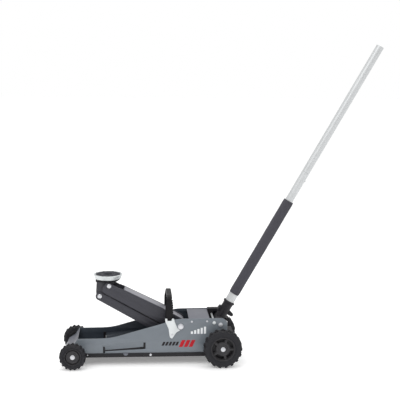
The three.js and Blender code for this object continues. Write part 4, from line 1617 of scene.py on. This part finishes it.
@dataclass
class Saddle:
    """The saddle: a bracket that stays level, a bright cup that turns on it, and a ribbed pad."""

    back: float = -4.8  # of its middle from the head pin
    seat: float = 47.0
    radius: float = 54.9
    pad: float = 46.5
    floor: float = 26.3
    top: float = 40.4
    ribs: int = 28
    tabs: int = 8

    @property
    def place(self) -> Matrix:
        """The head pin, with Z up."""
        return at(HEAD_PIN.x, 0, HEAD_PIN.z)

    @property
    def centre(self) -> Matrix:
        """The cup's own axis."""
        return self.place @ at(self.back)

    def build(self) -> None:
        """Makes the bracket, its pin, the cup and the pad."""
        self.bracket()
        self.pin()
        self.cup()
        self.rubber_pad()

    def bracket(self) -> None:
        """The bracket: a seat disc, two cheeks and a stop lug under the front of the disc."""
        link = (LINK_PIN.x - HEAD_PIN.x, LINK_PIN.z - HEAD_PIN.z)
        cheek = [
            (-48, 14), (-50, -24), *arc(
                link, 13, 171, 324, 14
            ), *arc((0, 0), 15, -36, 18, 8), (22, 14),
        ]
        holes = [circle(0, 0, 8.5), circle(*link, 6.4, 18)]
        shell = Shell(self.place)
        for sign in SIDES.values():
            low, high = sorted((sign * 20.0, sign * 25.5))
            shell.sheet(cheek, low, high, holes, 0.8)
        shell.block((-52.5, -7, 9.5), (-44, 7, 19), 1.2)
        shell.piece("saddle_carrier", BRACKET_PAINT, ["saddle_bracket"])
        Shell(self.place).turned(closed([
            (12.6, 13.6), (self.seat - 9, 13.6), (self.seat - 3.6, 17.2), (self.seat, 21.4),
            (self.seat, self.floor - 1.2), (
                self.seat - 1, self.floor - 0.3
            ), (12.6, self.floor - 0.3),
        ]), at(self.back), 56).piece("saddle_seat", BLACK_PAINT, [], body="saddle_head")

    def pin(self) -> None:
        """The link's front pin, with a domed head at each end."""
        place = at(LINK_PIN.x, 0, LINK_PIN.z) @ ALONG_Y
        profile = domed_pin(end=35, seat=31.3, shank=6)
        Shell().turned(profile, place, 32).piece("link_pin", BRIGHT, ["link_front_pin"])

    def cup(self) -> None:
        """The bright cup: a dished floor and a deep rim."""
        rim, top, floor = self.radius, self.top, self.floor
        profile = [
            (0, 12.6), (11, 12.6), (12, 13.6), (12, floor), (self.seat + 0.8, floor),
            (
                self.seat + 0.8, floor - 2.1
            ), (self.seat + 1.3, floor - 2.6), (self.seat + 2.5, floor - 2.6),
            (
                self.seat + 3.1, floor - 1.9
            ), (rim - 0.9, floor + 10), (rim, top - 2.2), (rim - 0.2, top - 1.2),
            (rim - 0.9, top - 0.6), (rim - 2, top - 0.5), (
                self.pad + 1.8, top - 0.5
            ), (self.pad + 0.8, top - 1.6),
            (self.pad + 0.8, floor + 4), (0, floor + 4),
        ]
        Shell(self.centre).turned(profile, steps=72).piece("saddle_rim", ZINC, ["saddle_cup"])

    def rubber_pad(self) -> None:
        """The pad: rings, radial ribs, a hollow at its middle and tabs that lap the rim."""
        foot, top = self.floor + 4.3, self.top - 0.1
        profile = [
            (0, foot), (self.pad, foot), (self.pad, top - 1.4), (self.pad - 1.2, top - 0.2),
            (
                self.pad - 4.5, top - 0.2
            ), (self.pad - 5.2, top - 1.8), (29, top - 2.2), (28.2, top - 0.2),
            (23.6, top - 0.2), (22.8, top - 1.8), (20.4, top - 2.0), (19.6, top - 0.4),
            (16.4, top - 0.6), (15.2, top - 2.4), (14.2, top - 8.4), (0, top - 8.9),
        ]
        shell = Shell(self.centre).turned(profile, steps=72)
        rib = [
            (28.5, top - 4), (28.5, top - 0.5), (self.pad - 4.4, top - 0.5),
            (self.pad - 4.4, top - 4)
        ]
        for index in range(self.ribs):
            shell.lug(rib, 360 * index / self.ribs, 3.4, -0.3)
        tab = [
            (self.pad - 3, top - 1.6), (self.pad - 2, top - 0.1), (self.pad + 4.6, top - 0.1),
            (self.pad + 4.6, top - 1.6)
        ]
        for index in range(self.tabs):
            shell.lug(tab, 360 * (index + 0.5) / self.tabs, 7.0, 0.45)
        pad = shell.piece("ribbed_pad", PAD_RUBBER, ["saddle_pad"], bevel=0.35)
        plug = top - 8.7
        Shell(self.centre).turned([
            (0, plug), (13.8, plug), (13.8, plug + 1), (9, plug + 1.4), (8, plug + 0.6),
            (0, plug + 0.6),
        ]).piece("pad_screw", BLACK_PAINT, [], body="saddle")


# ---------------------------------------------------------------- handle and pump


@dataclass
class Handle:
    """The cast socket on its yoke bolts and the handle that stands in it."""

    start: float = 10.0
    end: float = 84.0
    socket: float = 19.5
    bore: float = 15.5
    lip: float = 23.0
    tube: float = 15.0
    wall: float = 1.8
    collar: float = 18.3
    foot: float = 32.0
    seam: float = 664.0
    tip: float = 1217.0
    foam: float = 20.5
    foam_start: float = 119.0
    foam_end: float = 537.0
    button_at: float = 632.0
    clamp: Pair = (-21.0, 41.0)
    press_nose: Pair = (26.0, 2.0)  # level with and above the yoke pivot, at rest

    @property
    def place(self) -> Matrix:
        """Where the handle stands.

        Returns:
            The yoke pivot, with Z up the handle.
        """
        sleeve = middle_of("foam_sleeve")
        lean = math.atan2(sleeve.x - YOKE_PIVOT.x, sleeve.z - YOKE_PIVOT.z)
        return at(YOKE_PIVOT.x, 0, YOKE_PIVOT.z) @ Matrix.Rotation(lean, 4, "Y")

    def build(self) -> None:
        """Makes the socket, its clamp bolt, the tubes, the foam and the button."""
        self.casting()
        self.clamp_bolt()
        self.tubes()
        self.sleeve()

    def casting(self) -> None:
        """The cast socket: a ribbed barrel, a cross sleeve, clamp ears, a lug and a press nose."""
        shell = Shell(self.place)
        radius, lip = self.socket, self.lip
        shell.turned([
            (0, self.start), (
                radius - 1.5, self.start
            ), (radius, self.start + 1.5), (radius, self.end - 12),
            (radius + 0.8, self.end - 9), (lip - 0.6, self.end - 7), (lip, self.end - 5.5),
            (lip, self.end - 1.4), (lip - 1.2, self.end), (
                self.bore + 0.9, self.end
            ), (self.bore, self.end - 0.9),
            (self.bore, self.foot - 2), (0, self.foot - 2),
        ], steps=48)
        shell.turned(closed([
            (8, -71), (13, -71), (14, -70), (14, -52), (15.5, -49), (15.5, -30), (17, -24),
            (17, 24), (15.5, 30), (15.5, 49), (14, 52), (14, 70), (13, 71), (8, 71),
        ]), ALONG_Y, 36)
        ear = rounded([(-27, 30), (-15.9, 28), (-15.9, 54), (-27, 52)], 4)
        for low, high in ((-9, -1.2), (1.2, 9)):
            shell.sheet(ear, low, high, bevel=1.2)
        lug = [(15.9, 34), (35, 34), (40, 37), (40, 45), (30, 48.5), (15.9, 54)]
        shell.sheet(rounded(lug, 2.5), -7, 7, bevel=1.4)
        for side in (-1, 1):
            rib = [
                (side * 17.5, 8), (side * 22, 14), (side * 21.5, 64), (side * 18.5, self.end - 10),
                (side * 17.5, self.end - 10)
            ]
            shell.sheet(rib, -2.2, 2.2, bevel=0.8, place=CROSSWISE)
        lean = self.place.to_euler().y
        out, up = self.press_nose
        nose = (
            out * math.cos(lean) - up * math.sin(lean), out * math.sin(lean) + up * math.cos(lean)
        )
        arm = [(0, 6), (0, -3), (nose[0], nose[1] - 3), (nose[0], nose[1] + 6)]
        shell.sheet(arm, -9, 9, bevel=1.2)
        shell.turned(
            [(0, -9), (6, -9), (7, -8), (7, 8), (6, 9), (0, 9)], at(nose[0], 0, nose[1]) @ ALONG_Y,
            28
        )
        shell.piece("socket_casting", CASTING, ["handle_socket"])

    def clamp_bolt(self) -> None:
        """The bolt that draws the socket's ears together."""
        place = self.place @ at(self.clamp[0], 0, self.clamp[1])
        shell = Shell(place)
        shell.turned([(0, -13.4), (3.1, -13.4), (3.1, 13.4), (0, 13.4)], ALONG_Y, 18)
        for low, high in ((-13.4, -9.2), (9.2, 13.4)):
            shell.sheet(circle(0, 0, 5.4, 6), low, high, bevel=0.6)
        shell.piece("pinch_bolt", DARK_ZINC, ["clamp_bolt"])

    def tubes(self) -> None:
        """The lower tube, the upper tube that plugs into it, and their spring button."""
        outer, inner = self.tube, self.tube - self.wall
        collar_foot, collar_top = self.end + 0.5, self.foam_start - 0.4
        lower = closed([
            (inner, self.foot), (outer, self.foot), (outer, collar_foot), (
                self.collar - 0.8, collar_foot
            ),
            (
                self.collar, collar_foot + 0.8
            ), (self.collar, collar_top - 0.8), (self.collar - 0.8, collar_top),
            (outer, collar_top), (
                outer, self.seam - 0.8
            ), (outer - 0.6, self.seam), (inner, self.seam),
        ])
        Shell(self.place).turned(lower, steps=48).piece(
            "lower_handle_tube", TUBE_SILVER, ["lower_tube"]
        )
        upper = closed([
            (inner - 2, self.seam - 64), (inner - 0.3, self.seam - 64), (
                inner - 0.3, self.seam + 0.3
            ),
            (outer - 0.5, self.seam + 0.3), (outer, self.seam + 0.9), (outer, self.tip - 1.2),
            (outer - 0.8, self.tip - 0.2), (outer - 1.4, self.tip), (inner - 1.2, self.tip),
            (inner - 2, self.tip - 0.8),
        ])
        Shell(self.place).turned(upper, steps=48).piece(
            "upper_handle_tube", TUBE_SILVER, ["upper_tube"]
        )
        button = [(0, 8), (3.7, 8), (3.7, 15.8), (3.2, 17), (2, 17.8), (0, 18)]
        place = self.place @ at(z=self.button_at) @ ALONG_X
        Shell(place).turned(button, steps=24).piece("snap_button", BRIGHT, ["spring_button"])

    def sleeve(self) -> None:
        """The foam sleeve, with a faint ripple along it and its end rings drawn in a little."""
        steps = 40
        length = self.foam_end - self.foam_start
        outside = []
        for step in range(steps + 1):
            share = step / steps
            end = max(0.0, 1 - min(share, 1 - share) * length / 2)
            wave = 0.25 * math.sin(share * 31) * math.sin(share * 12.7)
            outside.append((self.foam - 0.3 + wave - 0.9 * end, self.foam_start + length * share))
        inner = self.tube + 0.3
        profile = closed([(inner, self.foam_start), *outside, (inner, self.foam_end)])
        piece = Shell(self.place).turned(profile, steps=56).piece(
            "foam_grip", FOAM, ["foam_sleeve"]
        )


@dataclass
class Pump:
    """The pump's plunger, its spring and the release spindle behind the block."""

    spring_turns: int = 8
    wire: float = 0.8
    flats: int = 16  # in each turn of the spring

    def build(self) -> None:
        """Makes the plunger and the spring, and dresses the spindle."""
        low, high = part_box("pump_plunger")
        middle, top, foot = middle_of("pump_plunger"), high.z / MM, low.z / MM
        place = at(middle.x)
        Shell(place).turned([
            (0, foot), (6.5, foot), (6.5, top - 4), (8.4, top - 4), (9, top - 3.6), (9, top - 2.4),
            (7.6, top - 1.2), (0, top - 1),
        ], steps=32).piece("plunger_rod", BRIGHT, ["pump_plunger"])
        low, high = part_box("pump_spring")
        bottom, head = low.z / MM + self.wire, high.z / MM - self.wire
        radius = (high.x - low.x) / 2 / MM - self.wire
        count = self.spring_turns * self.flats
        path = []
        for step in range(count + 1):
            turn = step / self.flats
            share = min(max((turn - 0.9) / (self.spring_turns - 1.8), 0), 1)
            angle = math.tau * turn
            height = bottom + (head - bottom) * share
            path.append(Vector((radius * math.cos(angle), radius * math.sin(angle), height)))
        spring = Shell(place).wire(path, self.wire).piece("return_spring", ZINC, ["pump_spring"])
        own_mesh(spring)
        dress("release_spindle", ZINC, 0.5)


@dataclass
class CarryHandle:
    """The moulded carrying handle that spans the jack."""

    half: float = 15.0
    outer: float = 74.0
    inner: float = 58.0
    top: float = 266.0
    foot: float = 148.0
    bend: float = 22.0
    ridge: float = 9.0
    ridge_depth: float = 2.2
    slimming: float = 4.5
    length: float = field(init=False)

    def build(self) -> None:
        """Makes the handle, with finger ridges along its rear edge, and its two trunnions."""
        bar = (self.outer - self.inner) / 2
        centre, reach = self.outer - bar, self.bend - bar
        corner_y, corner_z = centre - reach, self.top - self.bend
        path_2d = [
            *self._straight((-centre, self.foot), (-centre, corner_z)),
            *arc((-corner_y, corner_z), reach, 180, 90, 14),
            *self._straight((-corner_y, self.top - bar), (corner_y, self.top - bar))[1:],
            *arc((corner_y, corner_z), reach, 90, 0, 14)[1:],
            *self._straight((centre, corner_z), (centre, self.foot))[1:],
        ]
        middle = middle_of("carry_handle").x
        path = [Vector((middle, y, z)) for y, z in path_2d]
        self.length = sum((after - before).length for before, after in zip(path, path[1:]))
        shell = Shell().swept(
            path, lambda travelled: self._section(travelled, bar), Vector((1, 0, 0))
        )
        for side in SIDES:
            place = facing(side, BAIL_PIVOT.x, 0, BAIL_PIVOT.z)
            shell.turned([(0, 66), (5, 66), (5, 78), (4.4, 78.6), (0, 78.6)], place, 20)
        shell.piece("carrying_grip", GRIP_PLASTIC, ["carry_handle"])

    @staticmethod
    def _straight(start: Pair, end: Pair, step: float = 1.4) -> list[Pair]:
        """Evenly spaced points along a straight stretch."""
        count = max(2, round(math.dist(start, end) / step))
        return [tuple(Vector(start).lerp(Vector(end), i / count)) for i in range(count + 1)]

    def _section(self, travelled: float, bar: float) -> list[Pair]:
        """The grip's cross-section at a distance along it.

        Args:
            travelled: the distance.
            bar: half of its thickness.

        Returns:
            The section, with a finger ridge on its rear edge.
        """
        hollow = self.ridge_depth * (0.5 - 0.5 * math.cos(math.tau * travelled / self.ridge))
        leg = self.top - self.bend - self.foot
        from_end = min(travelled, self.length - travelled)
        share = min(max((from_end - leg * 0.8) / (leg * 0.4), 0), 1)
        front = self.half - self.slimming * share * share * (3 - 2 * share)
        rear = front - hollow
        crown = [(rear * math.cos(a), bar * math.sin(a)) for a in self._angles(0, 90)]
        crown += [(front * math.cos(a), bar * math.sin(a)) for a in self._angles(90, 180)[1:]]
        return [
            *crown, (-front, -bar * 0.5), (-front * 0.8, -bar), (rear * 0.8, -bar),
            (rear, -bar * 0.5)
        ]

    @staticmethod
    def _angles(start: float, end: float, steps: int = 5) -> list[float]:
        """Evenly spaced angles in radians, from degrees."""
        return [math.radians(start + (end - start) * step / steps) for step in range(steps + 1)]


BAIL_PIVOT = Vector((364.3, 0, 160.0))


# ---------------------------------------------------------------- studio


@dataclass
class Studio:
    """A pale floor, soft light and the camera."""

    eye: tuple[float, float, float] = (-0.34289, -3.51082, 1.1327)
    pitch: float = -8.222
    yaw: float = 4.278
    roll: float = 0.51
    lens: float = 83.66
    floor_half: float = 30.0

    def build(self) -> None:
        """Makes the floor, the world, the lamps and the camera."""
        self.floor()
        self.world()
        self.lamp("key", (-1.6, -2.4, 3.2), size=2.4, power=40)
        self.lamp("top", (0.4, 0.6, 3.6), size=2.6, power=28)
        self.camera()

    def floor(self) -> None:
        """A wide pale floor."""
        half = self.floor_half
        mesh = bpy.data.meshes.new("floor")
        mesh.from_pydata(
            [(-half, -half, 0), (half, -half, 0), (half, half, 0), (-half, half, 0)], [],
            [(0, 1, 2, 3)]
        )
        floor = bpy.data.objects.new("floor", mesh)
        bpy.context.scene.collection.objects.link(floor)
        paper = bpy.data.materials.new("pale floor")
        paper.use_nodes = True
        shader = paper.node_tree.nodes["Principled BSDF"]
        shader.inputs["Base Color"].default_value = (0.96, 0.96, 0.96, 1)
        shader.inputs["Emission Color"].default_value = (1, 1, 1, 1)
        shader.inputs["Emission Strength"].default_value = 0.22
        shader.inputs["Roughness"].default_value = 0.9
        shader.inputs["Specular IOR Level"].default_value = 0.1
        mesh.materials.append(paper)

    def world(self) -> None:
        """White all round, a little darker towards the horizon in reflections."""
        world = bpy.data.worlds.new("studio")
        bpy.context.scene.world = world
        world.use_nodes = True
        tree = world.node_tree
        lit = tree.nodes["Background"]
        lit.inputs["Color"].default_value = (1, 1, 1, 1)
        height = node(
            tree, "SeparateXYZ", {"Vector": node(tree, "TexCoord", {}).outputs["Generated"]}
        )
        ramp = node(
            tree, "MapRange",
            {"Value": height.outputs["Z"], "From Max": 0.7, "To Min": 0.5, "To Max": 0.9}
        )
        tree.links.new(ramp.outputs["Result"], lit.inputs["Strength"])
        seen = node(tree, "Background", {"Strength": 1.0, "Color": (1, 1, 1, 1)})
        path = node(tree, "LightPath", {})
        choice = node(tree, "MixShader", {
            0: path.outputs["Is Camera Ray"], 1: lit.outputs["Background"],
            2: seen.outputs["Background"],
        })
        tree.links.new(choice.outputs[0], tree.nodes["World Output"].inputs["Surface"])

    def lamp(self, name: str, place: tuple[float, float, float], size: float, power: float) -> None:
        """A square soft lamp that faces the jack.

        Args:
            name: the lamp's name.
            place: where it hangs.
            size: its side.
            power: in watts.
        """
        light = bpy.data.lights.new(name, "AREA")
        light.size, light.energy = size, power
        lamp = bpy.data.objects.new(name, light)
        bpy.context.scene.collection.objects.link(lamp)
        lamp.location = place
        middle = (CAD_BOX[0] + CAD_BOX[1]) / 2
        aim = Vector((0, 0, middle.z * 0.4)) - Vector(place)
        lamp.rotation_mode = "QUATERNION"
        lamp.rotation_quaternion = aim.to_track_quat("-Z", "Y")

    def camera(self) -> None:
        """The camera, looking slightly down at the jack's left-hand side."""
        camera = bpy.data.cameras.new("camera")
        camera.lens, camera.sensor_width = self.lens, 36
        camera.clip_start, camera.clip_end = 0.05, 200
        holder = bpy.data.objects.new("camera", camera)
        bpy.context.scene.collection.objects.link(holder)
        pitch, yaw, roll = (math.radians(value) for value in (self.pitch, self.yaw, self.roll))
        forward = Vector(
            (math.sin(yaw) * math.cos(pitch), math.cos(yaw) * math.cos(pitch), math.sin(pitch))
        )
        level = Vector((math.cos(yaw), -math.sin(yaw), 0))
        up = level.cross(forward)
        right = level * math.cos(roll) + up * math.sin(roll)
        above = up * math.cos(roll) - level * math.sin(roll)
        axes = Matrix((right, above, -forward)).transposed().to_4x4()
        holder.matrix_world = Matrix.Translation(self.eye) @ axes
        bpy.context.scene.camera = holder
        bpy.context.scene.view_settings.view_transform = "Standard"


def main() -> None:
    """Builds the jack's looks and its studio."""
    logging.basicConfig(level=logging.INFO, format="%(message)s")
    for side in SIDES:
        Wheel("front", side, rim=31.5, boss=20.0, lug_depth=3.9).build()
        Wheel("rear", side, rim=46.0, boss=25.5, lug_depth=4.6, spokes=5).build()
    for part in (Chassis(), LiftArm(), Saddle(), Handle(), Pump(), CarryHandle(), Studio()):
        part.build()


if __name__ == "__main__":
    main()
